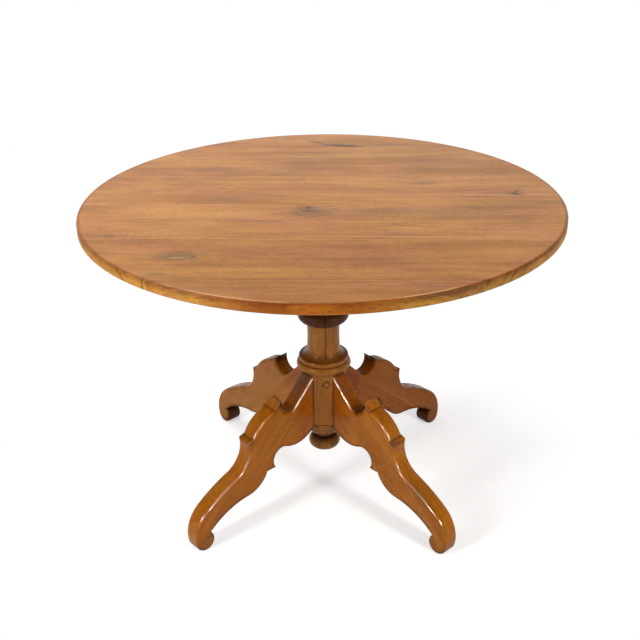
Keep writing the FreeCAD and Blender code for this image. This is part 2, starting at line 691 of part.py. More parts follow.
def leg_outline(body, name):
    """A leg seen from its side: the upper edges that are rounded later, and the sketch."""
    block_face = size("block_apothem")
    top = (block_face, size(LEG_TOP))
    scoop_centre = (block_face + size("scoop_run"), top[1] - size("scoop_drop"))
    scoop_radius = size("scoop_radius")
    strap_end = crossing(
        scoop_centre, scoop_radius, top, math.sqrt(math.dist(top, scoop_centre) ** 2 - scoop_radius**2), 1
    )
    tip_run = math.sqrt(scoop_radius**2 - size("tip_rise") ** 2)
    tip = (scoop_centre[0] + tip_run, scoop_centre[1] + size("tip_rise"))
    crease = (tip[0] + size("slope_run"), tip[1] - size("slope_drop"))
    bulge_end = (crease[0] + size("bulge_run"), crease[1] - size("bulge_drop"))
    step = (bulge_end[0] + size("ledge_run"), bulge_end[1] - size("ledge_drop"))
    cove_radius, knee_radius = size("cove_radius"), size("knee_radius")
    ankle_radius, foot_radius = size("ankle_radius"), size("foot_radius")
    cove_centre = (step[0] + math.sqrt(cove_radius**2 - size("cove_dip") ** 2), step[1] - size("cove_dip"))
    foot_centre = (size("foot_reach"), size(FOOT_CENTRE))
    ankle_rise = size("ankle_height") - foot_centre[1]
    ankle_run = math.sqrt((ankle_radius - foot_radius) ** 2 - ankle_rise**2)
    ankle_centre = (foot_centre[0] - ankle_run, size("ankle_height"))
    knee_centre = crossing(cove_centre, knee_radius + cove_radius, ankle_centre, knee_radius - ankle_radius, -1)
    heel_run = math.sqrt(foot_radius**2 - size("heel_rise") ** 2)
    heel = (foot_centre[0] - heel_run, foot_centre[1] + size("heel_rise"))
    ledge_corner = (size("under_ledge_reach"), size("under_ledge_height"))
    cusp = (ledge_corner[0] - size("under_ledge_run"), ledge_corner[1])
    shin_radius, arch_radius = size("shin_radius"), size("arch_radius")
    shin_run = math.sqrt(shin_radius**2 - size("shin_rise") ** 2)
    shin_centre = (ledge_corner[0] + shin_run, ledge_corner[1] + size("shin_rise"))
    arch_centre = crossing(heel, arch_radius, shin_centre, arch_radius + shin_radius, 1)
    hollow_radius, belly_radius = size("hollow_radius"), size("belly_radius")
    hollow_run = math.sqrt(hollow_radius**2 - size("hollow_rise") ** 2)
    hollow_centre = (cusp[0] - hollow_run, cusp[1] + size("hollow_rise"))
    root = (block_face, size(LEG_ROOT))
    belly_centre = crossing(root, belly_radius, hollow_centre, belly_radius + hollow_radius, 1)

    outline = Outline(body, name, "XZ_Plane").begin("block_apothem", LEG_TOP)
    strap = outline.line_to(strap_end)
    scoop = outline.arc_to(scoop_centre, tip, True, smooth=True)
    slope = outline.line_to(crease)
    bulge = outline.arc_to(bow_centre(crease, bulge_end, size("bulge_radius"), False), bulge_end, False)
    ledge = outline.line_to(step)
    cove = outline.arc_to(cove_centre, towards(cove_centre, knee_centre, cove_radius), True)
    knee = outline.arc_to(knee_centre, towards(knee_centre, ankle_centre, knee_radius), False, smooth=True)
    ankle = outline.arc_to(ankle_centre, towards(ankle_centre, foot_centre, ankle_radius), False, smooth=True)
    foot = outline.arc_to(foot_centre, heel, False, smooth=True)
    arch = outline.arc_to(arch_centre, towards(arch_centre, shin_centre, arch_radius), True)
    shin = outline.arc_to(shin_centre, ledge_corner, False, smooth=True)
    under_ledge = outline.line_to(cusp)
    hollow = outline.arc_to(hollow_centre, towards(hollow_centre, belly_centre, hollow_radius), True)
    belly = outline.arc_to(belly_centre, root, False, smooth=True)
    sketch = outline.finish()

    outline.right(start_of(strap), centre_of(scoop), "scoop_run")
    outline.above(centre_of(scoop), start_of(strap), "scoop_drop")
    outline.radius(scoop, "scoop_radius")
    outline.above(centre_of(scoop), end_of(scoop), "tip_rise")
    outline.right(start_of(slope), end_of(slope), "slope_run")
    outline.above(end_of(slope), start_of(slope), "slope_drop")
    outline.right(start_of(bulge), end_of(bulge), "bulge_run")
    outline.above(end_of(bulge), start_of(bulge), "bulge_drop")
    outline.radius(bulge, "bulge_radius")
    outline.right(start_of(ledge), end_of(ledge), "ledge_run")
    outline.above(end_of(ledge), start_of(ledge), "ledge_drop")
    outline.radius(cove, "cove_radius")
    outline.above(centre_of(cove), start_of(cove), "cove_dip")
    outline.radius(knee, "knee_radius")
    outline.radius(ankle, "ankle_radius")
    outline.above(ORIGIN, centre_of(ankle), "ankle_height")
    outline.radius(foot, "foot_radius")
    outline.hold(centre_of(foot), "foot_reach", FOOT_CENTRE)
    outline.above(centre_of(foot), end_of(foot), "heel_rise")
    outline.radius(arch, "arch_radius")
    outline.radius(shin, "shin_radius")
    outline.above(end_of(shin), centre_of(shin), "shin_rise")
    outline.hold(end_of(shin), "under_ledge_reach", "under_ledge_height")
    outline.right(end_of(under_ledge), start_of(under_ledge), "under_ledge_run")
    outline.fix("Horizontal", under_ledge.geometry)
    outline.radius(hollow, "hollow_radius")
    outline.above(start_of(hollow), centre_of(hollow), "hollow_rise")
    outline.radius(belly, "belly_radius")
    outline.hold(end_of(belly), "block_apothem", LEG_ROOT)
    doc.recompute()
    rounded = [outline.middle(edge) for edge in (strap, scoop, bulge, cove, knee, ankle, foot)]
    return sketch, rounded


def side_edges(shape, middles, half_thickness):
    """Names of a board's edges, on both of its sides, that pass through the given outline points."""
    names = []
    for number, edge in enumerate(shape.Edges, start=1):
        for middle in middles:
            for side in (-half_thickness, half_thickness):
                spot = Part.Vertex(Vector(middle.x, side, middle.y))
                if edge.distToShape(spot)[0] < TOUCHING:
                    names.append(f"Edge{number}")
    return names


def leg_body(label):
    """A leg along +X: the sawn board, its rounded upper edges, its flat foot and its tenon."""
    body = new_body(f"{label}_board")
    sketch, rounded = leg_outline(body, f"{label}_outline")
    board = slab(body, "Pad", sketch, f"{label}_pad", "leg_thickness")
    doc.recompute()
    rounding = body.newObject("PartDesign::Fillet", f"{label}_rounding")
    rounding.Base = (board, side_edges(board.Shape, rounded, size("leg_thickness / 2")))
    rounding.setExpression("Radius", tie("leg_edge_round"))
    floor = rectangle(
        body, f"{label}_floor", "XZ_Plane",
        "foot_reach - 2 * foot_radius", "foot_reach + 2 * foot_radius", "-foot_radius", "0",
    )
    slab(body, "Pocket", floor, f"{label}_foot_flat", "2 * leg_thickness")
    tenon = rectangle(
        body, f"{label}_tenon_sketch", "XZ_Plane", TENON_END, "block_apothem", TENON_FOOT, TENON_TOP
    )
    slab(body, "Pad", tenon, f"{label}_tenon", "tenon_thickness")
    return body


def peg_place(quarter):
    """Where a peg's inner end lies and which way it points, outwards through a bare face."""
    inner_end = Vector(size("peg_offset"), size("peg_length - block_apothem"), size(PEG_HEIGHT))
    facing = Placement(inner_end, Rotation(Vector(1, 0, 0), QUARTER_TURN))
    return Placement(Vector(), Rotation(Vector(0, 0, 1), quarter * QUARTER_TURN)) * facing


def leg(label, quarter):
    """A leg on its diagonal, with the hole that its peg makes in the tenon."""
    board = leg_body(label)
    board.Placement = Placement(Vector(), Rotation(Vector(0, 0, 1), (quarter - 0.5) * QUARTER_TURN))
    hole = doc.addObject("Part::Cylinder", f"{label}_peg_hole")
    hole.setExpression("Radius", tie("peg_radius + fit_clearance"))
    hole.setExpression("Height", tie("peg_length"))
    hole.Placement = peg_place(quarter)
    drilled = doc.addObject("Part::Cut", label)
    drilled.Base = board
    drilled.Tool = hole
    return drilled


def leg_peg(label, quarter):
    """A round peg with a slightly domed end."""
    body = new_body(label)
    outline = Outline(body, f"{label}_profile", "XZ_Plane").begin("0", "0")
    outline.line("peg_radius", "0")
    outline.line("peg_radius", "peg_length")
    outline.arc("0", "peg_length + peg_proud", True, upright="end")
    revolve(body, outline.finish(), f"{label}_turning")
    body.Placement = peg_place(quarter)
    return body


def build():
    """Every piece of the table, by its name."""
    pieces = top_planks()
    pieces["batten_left"] = batten("batten_left", "-1")
    pieces["batten_right"] = batten("batten_right", "1")
    pieces["bearer_disc"] = bearer_disc()
    pieces["batten_screws"] = screw_group(
        "batten_screws", screw("batten_screw", "batten_thickness"), batten_screw_places(), BATTEN_BOTTOM
    )
    pieces["bearer_screws"] = screw_group(
        "bearer_screws", screw("bearer_screw", "bearer_thickness"), bearer_screw_places(), SHOULDER
    )
    pieces["column"] = column()
    pieces["spigot_wedge"] = spigot_wedge()
    pieces["drop_finial"] = drop_finial()
    for quarter, (leg_label, peg_label) in enumerate(zip(LEGS, PEGS)):
        pieces[leg_label] = leg(leg_label, quarter)
        pieces[peg_label] = leg_peg(peg_label, quarter)
    doc.recompute()
    return pieces


def check(pieces):
    """Stops on any object that failed, and on any piece without a sound shape."""
    for item in doc.Objects:
        if {"Invalid", "Error"} & set(item.State):
            raise RuntimeError(f"{item.Label} could not be built: {item.State}")
    for label, piece in pieces.items():
        if piece.Shape.isNull() or not piece.Shape.isValid() or not piece.Shape.Solids:
            raise RuntimeError(f"{label} has no sound solid")


table = build()
check(table)
os.makedirs("parts", exist_ok=True)
for node, piece in table.items():
    piece.Shape.exportStep(f"parts/{node}.step")
    solids = piece.Shape.Solids
    print(f"{node}: {len(solids)} solid(s), {sum(solid.Volume for solid in solids) / 1000:.1f} cm3")
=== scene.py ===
"""Looks of the round pedestal table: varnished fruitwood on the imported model, a pale floor and soft light.

Metres, +Z up. The planks of the top run along X, and the camera stands on the -Y side.
The wood is a solid texture of growth rings round a heart line, so a piece's faces, edges and ends agree.
Colours are linear, and a tint is a colour that multiplies another one.
Limits say where a smooth step starts and ends, and then its values there if they aren't zero and one.
"""

import math
from typing import NamedTuple

import bpy
from mathutils import Matrix, Vector


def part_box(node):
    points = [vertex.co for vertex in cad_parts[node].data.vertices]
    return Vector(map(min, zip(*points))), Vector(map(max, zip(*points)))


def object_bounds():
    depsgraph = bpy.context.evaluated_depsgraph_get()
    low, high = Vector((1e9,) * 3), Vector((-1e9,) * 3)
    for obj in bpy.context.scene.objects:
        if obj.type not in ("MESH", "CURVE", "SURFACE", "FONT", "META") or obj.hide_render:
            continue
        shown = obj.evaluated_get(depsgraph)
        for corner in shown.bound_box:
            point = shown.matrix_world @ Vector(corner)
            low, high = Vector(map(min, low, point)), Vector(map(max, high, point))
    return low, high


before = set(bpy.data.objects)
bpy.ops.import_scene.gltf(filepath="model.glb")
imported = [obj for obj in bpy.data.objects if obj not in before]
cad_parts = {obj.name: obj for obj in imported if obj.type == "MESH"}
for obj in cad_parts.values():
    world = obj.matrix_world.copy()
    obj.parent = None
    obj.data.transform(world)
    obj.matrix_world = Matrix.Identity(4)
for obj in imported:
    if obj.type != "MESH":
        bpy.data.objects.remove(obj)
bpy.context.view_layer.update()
scene = bpy.context.scene

# Colours of the wood and of what lies on it
DARK_WOOD = (0.325, 0.123, 0.030)
MIDDLE_WOOD = (0.445, 0.182, 0.047)
LIGHT_WOOD = (0.560, 0.245, 0.072)
GOLDEN_WOOD = (0.620, 0.288, 0.078)
GREY_WOOD = (0.250, 0.124, 0.060)
AGED_YELLOW = (0.335, 0.142, 0.022)
KNOT_GREY = (0.198, 0.110, 0.049)
KNOT_HEART = (0.042, 0.031, 0.015)
CRACK_GREEN = (0.030, 0.030, 0.022)
PALE_SLIT = (0.520, 0.300, 0.150)
# A pale streak in the top, and the painted highlight on the rim's near edge
PALE_STREAK_AND_HIGHLIGHT = (0.760, 0.420, 0.170)
# A brown stain on the legs' straps, greyed partly as a painted sheen
STRAP_BROWN_AND_SHEEN = (0.105, 0.046, 0.024)
# Worn brown edges, and dark lines along the legs' side edges that are partly a painted shade
WORN_BROWN_AND_SHADE = (0.120, 0.034, 0.008)
# Dark grime at pegs and joints, and the colour of painted shade in seams, creases, corners and on faces that
# look down
GRIME_AND_SHADE = (0.045, 0.016, 0.005)


class Mark(NamedTuple):
    """A knot, streak or crack: a soft ellipse that goes right through a board.

    It shows a share of its colour, in full within its core. Its outline is ragged, and it may lift the
    growth rings round it.
    """
    along: float
    across: float
    half_length: float
    half_width: float
    colour: tuple
    share: float
    turn: float = 0.0
    core: float = 0.2
    ragged: float = 0.8
    lift: float = 0.0


class Board(NamedTuple):
    """How a piece was cut from its tree: the heart line's place in the grain frame, its lean and its wander.

    The seed tells boards apart, and the tone makes a whole board darker or lighter.
    """
    seed: float
    heart_across: float
    heart_depth: float
    lean: float = 0.02
    wander: float = 0.03
    tone: float = 0.0
    marks: tuple = ()


class Figure(NamedTuple):
    """The look of one kind of cut: colours from dark to light, and the size and softness of its bands."""
    colours: tuple
    golden: tuple
    grey: tuple
    size: float
    spread: float


class Noise(NamedTuple):
    """A noise about one half: the sizes of its cells along three axes, or its one size along a line.

    Its seed is added to the board's and only tells noises apart. Its limits say where it counts as high.
    """
    cell: tuple
    seed: float = 0.0
    detail: float = 2.0
    roughness: float = 0.5
    limits: tuple = ()


TOP_FIGURE = Figure(
    colours=(DARK_WOOD, MIDDLE_WOOD, LIGHT_WOOD),
    golden=GOLDEN_WOOD,
    grey=GREY_WOOD,
    size=1.0,
    spread=0.130,
)
LEG_FIGURE = Figure(
    colours=((0.250, 0.066, 0.002), (0.375, 0.112, 0.004), (0.490, 0.170, 0.011)),
    golden=(0.500, 0.190, 0.022),
    grey=(0.215, 0.082, 0.007),
    size=0.55,
    spread=0.20,
)
COLUMN_FIGURE = Figure(
    colours=((0.190, 0.060, 0.006), (0.275, 0.098, 0.011), (0.350, 0.138, 0.020)),
    golden=(0.380, 0.160, 0.032),
    grey=(0.140, 0.052, 0.010),
    size=0.40,
    spread=0.24,
)

# A short crack in the near edge of the top, which points at the table's axis
EDGE_CRACK_X = -0.316
EDGE_CRACK_Y = -0.425
EDGE_CRACK_TURN = math.atan2(EDGE_CRACK_Y, EDGE_CRACK_X)

# Boards of the top, from the near edge to the far one; their tones, darker near and lighter further back, are
# partly a painted shade
PLANKS = {
    "top_plank_1": Board(seed=1.3, heart_across=-0.62, heart_depth=0.55, tone=-0.08),
    "top_plank_2": Board(seed=5.1, heart_across=-0.20, heart_depth=0.58, tone=-0.05, marks=(
        Mark(-0.265, -0.315, 0.062, 0.034, KNOT_GREY, 0.65, lift=0.014, ragged=1.2),
        Mark(-0.262, -0.300, 0.046, 0.010, KNOT_HEART, 0.25, ragged=1.2),
        Mark(-0.268, -0.326, 0.022, 0.0050, PALE_SLIT, 0.85, ragged=0.3),
        Mark(-0.236, -0.322, 0.008, 0.005, KNOT_HEART, 0.85, ragged=0.3),
        Mark(-0.293, -0.403, 0.042, 0.017, KNOT_GREY, 0.5),
        Mark(0.020, -0.380, 0.240, 0.110, DARK_WOOD, 0.35, core=0.0, ragged=0.4),
        Mark(EDGE_CRACK_X, EDGE_CRACK_Y, 0.012, 0.0018, KNOT_HEART, 0.9, turn=EDGE_CRACK_TURN, ragged=0.2),
    )),
    "top_plank_3": Board(seed=9.7, heart_across=0.05, heart_depth=0.52, tone=0.02, marks=(
        Mark(-0.018, -0.066, 0.078, 0.046, KNOT_GREY, 0.60, lift=0.022, ragged=1.2),
        Mark(-0.028, -0.056, 0.034, 0.030, KNOT_HEART, 0.32, ragged=0.8),
        Mark(-0.028, -0.046, 0.009, 0.011, KNOT_HEART, 0.70, ragged=0.6),
        Mark(-0.024, -0.069, 0.026, 0.008, KNOT_HEART, 0.50, turn=-0.1, ragged=0.8),
        Mark(-0.047, -0.088, 0.024, 0.0045, KNOT_HEART, 0.40, turn=-0.5, ragged=0.5),
        Mark(-0.008, -0.098, 0.030, 0.0050, KNOT_HEART, 0.40, turn=0.35, ragged=0.5),
        Mark(-0.120, -0.128, 0.120, 0.0048, KNOT_GREY, 0.75, turn=0.05, ragged=0.5),
        Mark(0.200, -0.2155, 0.300, 0.0034, PALE_STREAK_AND_HIGHLIGHT, 0.40, turn=-0.020, core=0.4, ragged=0.4),
        Mark(0.150, -0.060, 0.085, 0.026, KNOT_GREY, 0.40, ragged=1.2),
        Mark(-0.425, -0.218, 0.017, 0.014, KNOT_GREY, 0.70),
        Mark(-0.330, -0.075, 0.230, 0.060, GOLDEN_WOOD, 0.50, core=0.0),
        Mark(0.220, -0.080, 0.420, 0.060, GREY_WOOD, 0.35, core=0.0),
    )),
    "top_plank_4": Board(seed=14.2, heart_across=-0.12, heart_depth=0.54, tone=0.01, marks=(
        Mark(-0.207, 0.007, 0.058, 0.024, KNOT_GREY, 0.42, ragged=0.6),
        Mark(0.431, 0.050, 0.036, 0.030, KNOT_GREY, 0.50, lift=0.010, ragged=1.2),
        Mark(0.430, 0.046, 0.018, 0.009, KNOT_HEART, 0.65, turn=-0.7, ragged=0.8),
        Mark(0.436, 0.066, 0.020, 0.006, KNOT_HEART, 0.45, turn=1.1, ragged=0.8),
        Mark(0.105, 0.080, 0.055, 0.009, KNOT_HEART, 0.30, turn=-0.25, ragged=1.0),
        Mark(-0.360, 0.150, 0.050, 0.016, KNOT_GREY, 0.45),
        Mark(0.100, 0.030, 0.420, 0.0030, GOLDEN_WOOD, 0.6, turn=-0.075, ragged=0.5),
        Mark(-0.200, 0.066, 0.330, 0.0030, GOLDEN_WOOD, 0.6, turn=-0.035, ragged=0.5),
    )),
    "top_plank_5": Board(seed=20.9, heart_across=0.42, heart_depth=0.50, marks=(
        Mark(-0.270, 0.222, 0.130, 0.024, KNOT_GREY, 0.40, ragged=1.2),
        Mark(0.247, 0.222, 0.085, 0.018, KNOT_GREY, 0.32, ragged=1.2),
        Mark(-0.020, 0.232, 0.150, 0.022, KNOT_GREY, 0.25, ragged=1.2),
    )),
    "top_plank_6": Board(seed=27.4, heart_across=0.30, heart_depth=0.53, tone=0.02, marks=(
        Mark(0.030, 0.432, 0.110, 0.034, KNOT_GREY, 0.35, turn=-0.2, lift=0.010),
        Mark(0.040, 0.420, 0.062, 0.0130, CRACK_GREEN, 0.70, turn=-0.16, core=0.5, ragged=0.9),
        Mark(-0.028, 0.448, 0.036, 0.0040, CRACK_GREEN, 0.75, turn=-0.60, core=0.4, ragged=0.5),
        Mark(0.160, 0.428, 0.080, 0.020, KNOT_GREY, 0.35),
        Mark(-0.340, 0.374, 0.046, 0.010, KNOT_GREY, 0.55),
    )),
}

# Boards of the legs, the rear right one darker in tone partly as a painted shade, and how much of the stain
# shows on each one's strap, its upper face next to the column
LEGS = {
    "leg_front_right": Board(seed=33.0, heart_across=0.10, heart_depth=-0.12, lean=0.05, tone=0.02, marks=(
        Mark(-0.0775, 0.277, 0.020, 0.012, GRIME_AND_SHADE, 0.60),
    )),
    "leg_front_left": Board(seed=38.0, heart_across=-0.12, heart_depth=0.10, lean=-0.04, tone=0.02, marks=(
        Mark(0.262, 0.281, 0.010, 0.0030, KNOT_HEART, 0.80, turn=0.7, ragged=1.0),
        Mark(0.270, 0.277, 0.022, 0.016, KNOT_GREY, 0.45, ragged=1.2),
    )),
    "leg_rear_right": Board(seed=44.0, heart_across=0.09, heart_depth=0.11, lean=0.03, tone=-0.25),
    "leg_rear_left": Board(seed=49.0, heart_across=-0.10, heart_depth=-0.10, lean=-0.05, tone=-0.02, marks=(
        Mark(0.100, 0.310, 0.300, 0.120, AGED_YELLOW, 0.55, core=0.3),
    )),
}
# The front right strap's small share lightens it partly as a painted sheen
STRAP_SHARES = {
    "leg_front_right": 0.22,
    "leg_front_left": 0.85,
    "leg_rear_right": 0.75,
    "leg_rear_left": 0.75,
}

# The other pieces that share a finish, and the blanks that the wooden ones were cut from
TURNINGS = ("column", "drop_finial")
PEGS = ("leg_peg_front", "leg_peg_right", "leg_peg_rear", "leg_peg_left")
BATTENS = ("batten_left", "batten_right")
SCREWS = ("batten_screws", "bearer_screws")
COLUMN_BOARD = Board(seed=55.0, heart_across=0.012, heart_depth=0.02, lean=0.03, wander=0.012, tone=-0.02)
PEG_BOARD = Board(seed=41.0, heart_across=0.01, heart_depth=0.25)
WEDGE_BOARD = Board(seed=71.0, heart_across=0.1, heart_depth=0.25)
BARE_BOARD = Board(seed=61.0, heart_across=0.1, heart_depth=0.5)

# The middle of every noise, the way a seed shifts one, and how finely corners and rounded edges are felt out
NOISE_MIDDLE = 0.5
SEED_SHIFT = (1.0, -1.0, 2.0)
CORNER_SAMPLES = 8
ROUND_SAMPLES = 4

# Places of the colour sockets on a mix node, whose names its other kinds share
MIX_FIRST = 6
MIX_SECOND = 7
MIX_RESULT = 2


class Field:
    """A value that varies over a surface. Sums and products of fields add the nodes that work them out."""

    def __init__(self, nodes, socket):
        self.nodes = nodes
        self.socket = socket

    def __add__(self, other):
        return self.nodes.math("ADD", self, other)

    def __sub__(self, other):
        return self.nodes.math("SUBTRACT", self, other)

    def __rsub__(self, other):
        return self.nodes.math("SUBTRACT", other, self)

    def __mul__(self, other):
        return self.nodes.math("MULTIPLY", self, other)

    def __truediv__(self, other):
        return self.nodes.math("DIVIDE", self, other)


class Nodes:
    """A node tree, written as short calls that return fields."""

    def __init__(self, tree):
        self.tree = tree

    def node(self, kind, inputs=None, **settings):
        """A new node with its settings and inputs."""
        node = self.tree.nodes.new(kind)
        for name, value in settings.items():
            setattr(node, name, value)
        for name, value in (inputs or {}).items():
            self.feed(node.inputs[name], value)
        return node

    def add(self, kind, inputs=None, output=0, **settings):
        """The field that comes out of a new node."""
        return Field(self, self.node(kind, inputs, **settings).outputs[output])

    def feed(self, socket, value):
        """A field is linked to the socket, and a plain value is set on it."""
        if isinstance(value, Field):
            self.tree.links.new(value.socket, socket)
        elif socket.type == "RGBA":
            socket.default_value = (*value, 1.0)
        else:
            socket.default_value = value

    def math(self, operation, first, second):
        return self.add("ShaderNodeMath", {0: first, 1: second}, operation=operation)

    def vector(self, operation, first, second):
        return self.add("ShaderNodeVectorMath", {0: first, 1: second}, operation=operation)

    def scaled(self, vector, number):
        """A vector or colour times a number."""
        return self.add("ShaderNodeVectorMath", {"Vector": vector, "Scale": number}, operation="SCALE")

    def unit(self, vector):
        """A vector of length one."""
        return self.add("ShaderNodeVectorMath", {0: vector}, operation="NORMALIZE")

    def parts(self, vector):
        """The three numbers of a vector."""
        node = self.node("ShaderNodeSeparateXYZ", {0: vector})
        return [Field(self, output) for output in node.outputs]

    def join(self, x, y, z):
        return self.add("ShaderNodeCombineXYZ", {0: x, 1: y, 2: z})

    def length(self, x, y, z=0.0):
        """The length of a vector with these parts."""
        return self.add("ShaderNodeVectorMath", {0: self.join(x, y, z)}, "Value", operation="LENGTH")

    def step(self, value, start, end, low=0.0, high=1.0):
        """A smooth step of a value, from low at start to high at end."""
        inputs = {"Value": value, "From Min": start, "From Max": end, "To Min": low, "To Max": high}
        return self.add("ShaderNodeMapRange", inputs, interpolation_type="SMOOTHSTEP")

    def between(self, value, start, end):
        """One between two pairs of limits and zero beyond them."""
        return self.step(value, *start) * self.step(value, *end)

    def near(self, gap, far, close, high=1.0):
        """High where a gap of either sign is under close, and zero where it is over far."""
        return self.step(gap * gap, far ** 2, close ** 2, 0.0, high)


class Surface(Nodes):
    """A material of the table, whose nodes read the place on the table and feed one shader."""

    def __init__(self, name):
        self.material = bpy.data.materials.new(name)
        self.material.use_nodes = True
        super().__init__(self.material.node_tree)
        self.shader = self.tree.nodes["Principled BSDF"]
        self.place = self.add("ShaderNodeTexCoord", output="Object")

    def normal(self):
        """The face's own normal."""
        return self.add("ShaderNodeNewGeometry", output="Normal")

    def facing(self):
        """The three parts of the face's own normal."""
        return self.parts(self.normal())

    def turned(self, vector, turn):
        """A vector turned about the three axes."""
        inputs = {"Vector": vector, "Rotation": turn}
        return self.add("ShaderNodeVectorRotate", inputs, rotation_type="EULER_XYZ")

    def noise(self, place, noise, seed=0.0, size=1.0):
        """A noise in space."""
        stretch = tuple(1.0 / (length * size) for length in noise.cell)
        shift = tuple((seed + noise.seed) * part for part in SEED_SHIFT)
        spread = self.add("ShaderNodeVectorMath", {0: place, 1: stretch, 2: shift}, operation="MULTIPLY_ADD")
        inputs = {"Vector": spread, "Scale": 1.0, "Detail": noise.detail, "Roughness": noise.roughness}
        return self.add("ShaderNodeTexNoise", inputs, "Fac")

    def line_noise(self, distance, noise, seed, size=1.0):
        """A noise along a distance."""
        place = distance / (noise.cell[0] * size) + (seed + noise.seed)
        inputs = {"W": place, "Scale": 1.0, "Detail": noise.detail}
        return self.add("ShaderNodeTexNoise", inputs, "Fac", noise_dimensions="1D")

    def swing(self, place, noise, seed=0.0):
        """A noise in space, about zero."""
        return self.noise(place, noise, seed) - NOISE_MIDDLE

    def patches(self, place, noise, seed=0.0, size=1.0):
        """Where a noise in space is high."""
        return self.step(self.noise(place, noise, seed, size), *noise.limits)

    def mix(self, share, first, second):
        """The first colour, with a share of the second."""
        inputs = {"Factor": share, MIX_FIRST: first, MIX_SECOND: second}
        return self.add("ShaderNodeMix", inputs, MIX_RESULT, data_type="RGBA")

    def tinted(self, colour, tint):
        return self.vector("MULTIPLY", colour, tint)

    def stained(self, share, colour, tint):
        """A colour with a share of a tint."""
        return self.mix(share, colour, self.tinted(colour, tint))

    def ramp(self, value, low, colours, high):
        """Evenly spaced colours, from low to high."""
        inputs = {"Value": value, "From Min": low, "From Max": high}
        node = self.node("ShaderNodeValToRGB", {0: self.add("ShaderNodeMapRange", inputs)})
        elements = node.color_ramp.elements
        gaps = len(colours) - 1
        for number in range(1, gaps):
            elements.new(number / gaps)
        for element, colour in zip(elements, colours):
            element.color = (*colour, 1.0)
        return Field(self, node.outputs["Color"])

    def closed_in(self, reach, **settings):
        """One where faces within reach close a point in, and zero where there are none."""
        inputs = {"Distance": reach}
        return 1.0 - self.add("ShaderNodeAmbientOcclusion", inputs, "AO", samples=CORNER_SAMPLES, **settings)

    def crevice(self, reach):
        """One deep in a corner and zero in the open."""
        return self.closed_in(reach)

    def edge(self, reach):
        """One on an outer edge and zero on a flat face."""
        return self.closed_in(reach, inside=True, only_local=True)

    def rounded(self, radius):
        """The normal, as if the edges were rounded."""
        return self.add("ShaderNodeBevel", {"Radius": radius}, "Normal", samples=ROUND_SAMPLES)

    def bump(self, height, depth, normal=None):
        """The normal, as if the height stood out by a depth."""
        inputs = {"Height": height, "Distance": depth, "Strength": 1.0}
        if normal:
            inputs["Normal"] = normal
        return self.add("ShaderNodeBump", inputs, "Normal")

    def finish(self, colour, roughness, normal, ior):
        """The material, with these on its shader."""
        inputs = {"Base Color": colour, "Roughness": roughness, "Normal": normal, "IOR": ior}
        for name, value in inputs.items():
            self.feed(self.shader.inputs[name], value)
        return self.material


# The wood's figure, from broad to fine
TORN_OUTLINE = Noise((0.022, 0.008, 0.008), detail=3.0)
HEART_DRIFT = Noise((0.36, 0.14, 0.14))
CLOUDS = Noise((0.28, 0.080, 0.080), seed=3.0, detail=6.0, roughness=0.60)
STREAKS = Noise((0.30, 0.014, 0.014), seed=7.0, detail=4.0, roughness=0.6)
RINGS = Noise((0.030,), detail=3.0)
GREY_PATCHES = Noise((0.17, 0.036, 0.036), seed=11.0, detail=4.0, limits=(0.54, 0.76, 0.0, 0.6))
CONTOURS = Noise((0.050,), seed=13.0)
GOLDEN_PATCHES = Noise((0.30, 0.10, 0.10), seed=15.0, limits=(0.42, 0.60, 0.0, 0.40))
DARK_STREAKS = Noise((0.090, 0.0030, 0.0030), seed=17.0, limits=(0.60, 0.78, 0.0, 0.55))
DASHES = Noise((0.014, 0.0024, 0.0024), seed=19.0, limits=(0.62, 0.80, 0.0, 0.50))
HUES = Noise((0.24, 0.070, 0.070), seed=29.0, detail=4.0, limits=(0.36, 0.64))
MOTTLE = Noise((0.010, 0.006, 0.006), seed=31.0, detail=3.0)
FINE_RINGS = Noise((0.0014,), detail=1.0)
FLECKS = Noise((0.020, 0.0011, 0.0011), seed=23.0)

# The broad figure: how much its noises count in the tone, the golden lines' width and the ends of the hue
CLOUD_TONE = 0.60
STREAK_TONE = 0.24
RING_TONE = 0.16
CONTOUR_HALF_WIDTH = 0.03
PINK_TINT = (1.01, 0.970, 1.12)
OLIVE_TINT = (0.99, 1.02, 0.88)

# The fine figure: how much its noises count in the shade and in the height
MOTTLE_SHADE = 0.60
FINE_SHADE = 0.14
FLECK_SHADE = (0.58, 0.76, 0.0, 0.20)
MEAN_SHADE = 1.03
FINE_HEIGHT = 0.5
FLECK_DEPTH = (0.55, 0.75)


def mark_share(surface, grain, mark, torn):
    """How deep a point lies in a mark: one in its core and zero outside."""
    moved = surface.vector("SUBTRACT", grain, (mark.along, mark.across, 0.0))
    along, across = surface.parts(surface.turned(moved, (0.0, 0.0, -mark.turn)))[:2]
    distance = surface.length(along / mark.half_length, across / mark.half_width)
    return surface.step(distance + torn * mark.ragged, 1.0, mark.core)


def broad_figure(surface, bent, radius, board, figure):
    """The colour of clouds, streaks and growth rings, with grey patches and golden lines."""
    seed = board.seed
    size = figure.size
    cloud = surface.noise(bent, CLOUDS, seed, size)
    streak = surface.noise(bent, STREAKS, seed, size)
    rings = surface.line_noise(radius, RINGS, seed, size)
    tone = cloud * CLOUD_TONE + streak * STREAK_TONE + rings * RING_TONE + board.tone
    colour = surface.ramp(tone, NOISE_MIDDLE - figure.spread, figure.colours, NOISE_MIDDLE + figure.spread)
    colour = surface.mix(surface.patches(bent, GREY_PATCHES, seed, size), colour, figure.grey)
    contour = surface.line_noise(radius, CONTOURS, seed, size) - NOISE_MIDDLE
    golden = surface.patches(bent, GOLDEN_PATCHES, seed, size)
    return surface.mix(surface.near(contour, CONTOUR_HALF_WIDTH, 0.0) * golden, colour, figure.golden)


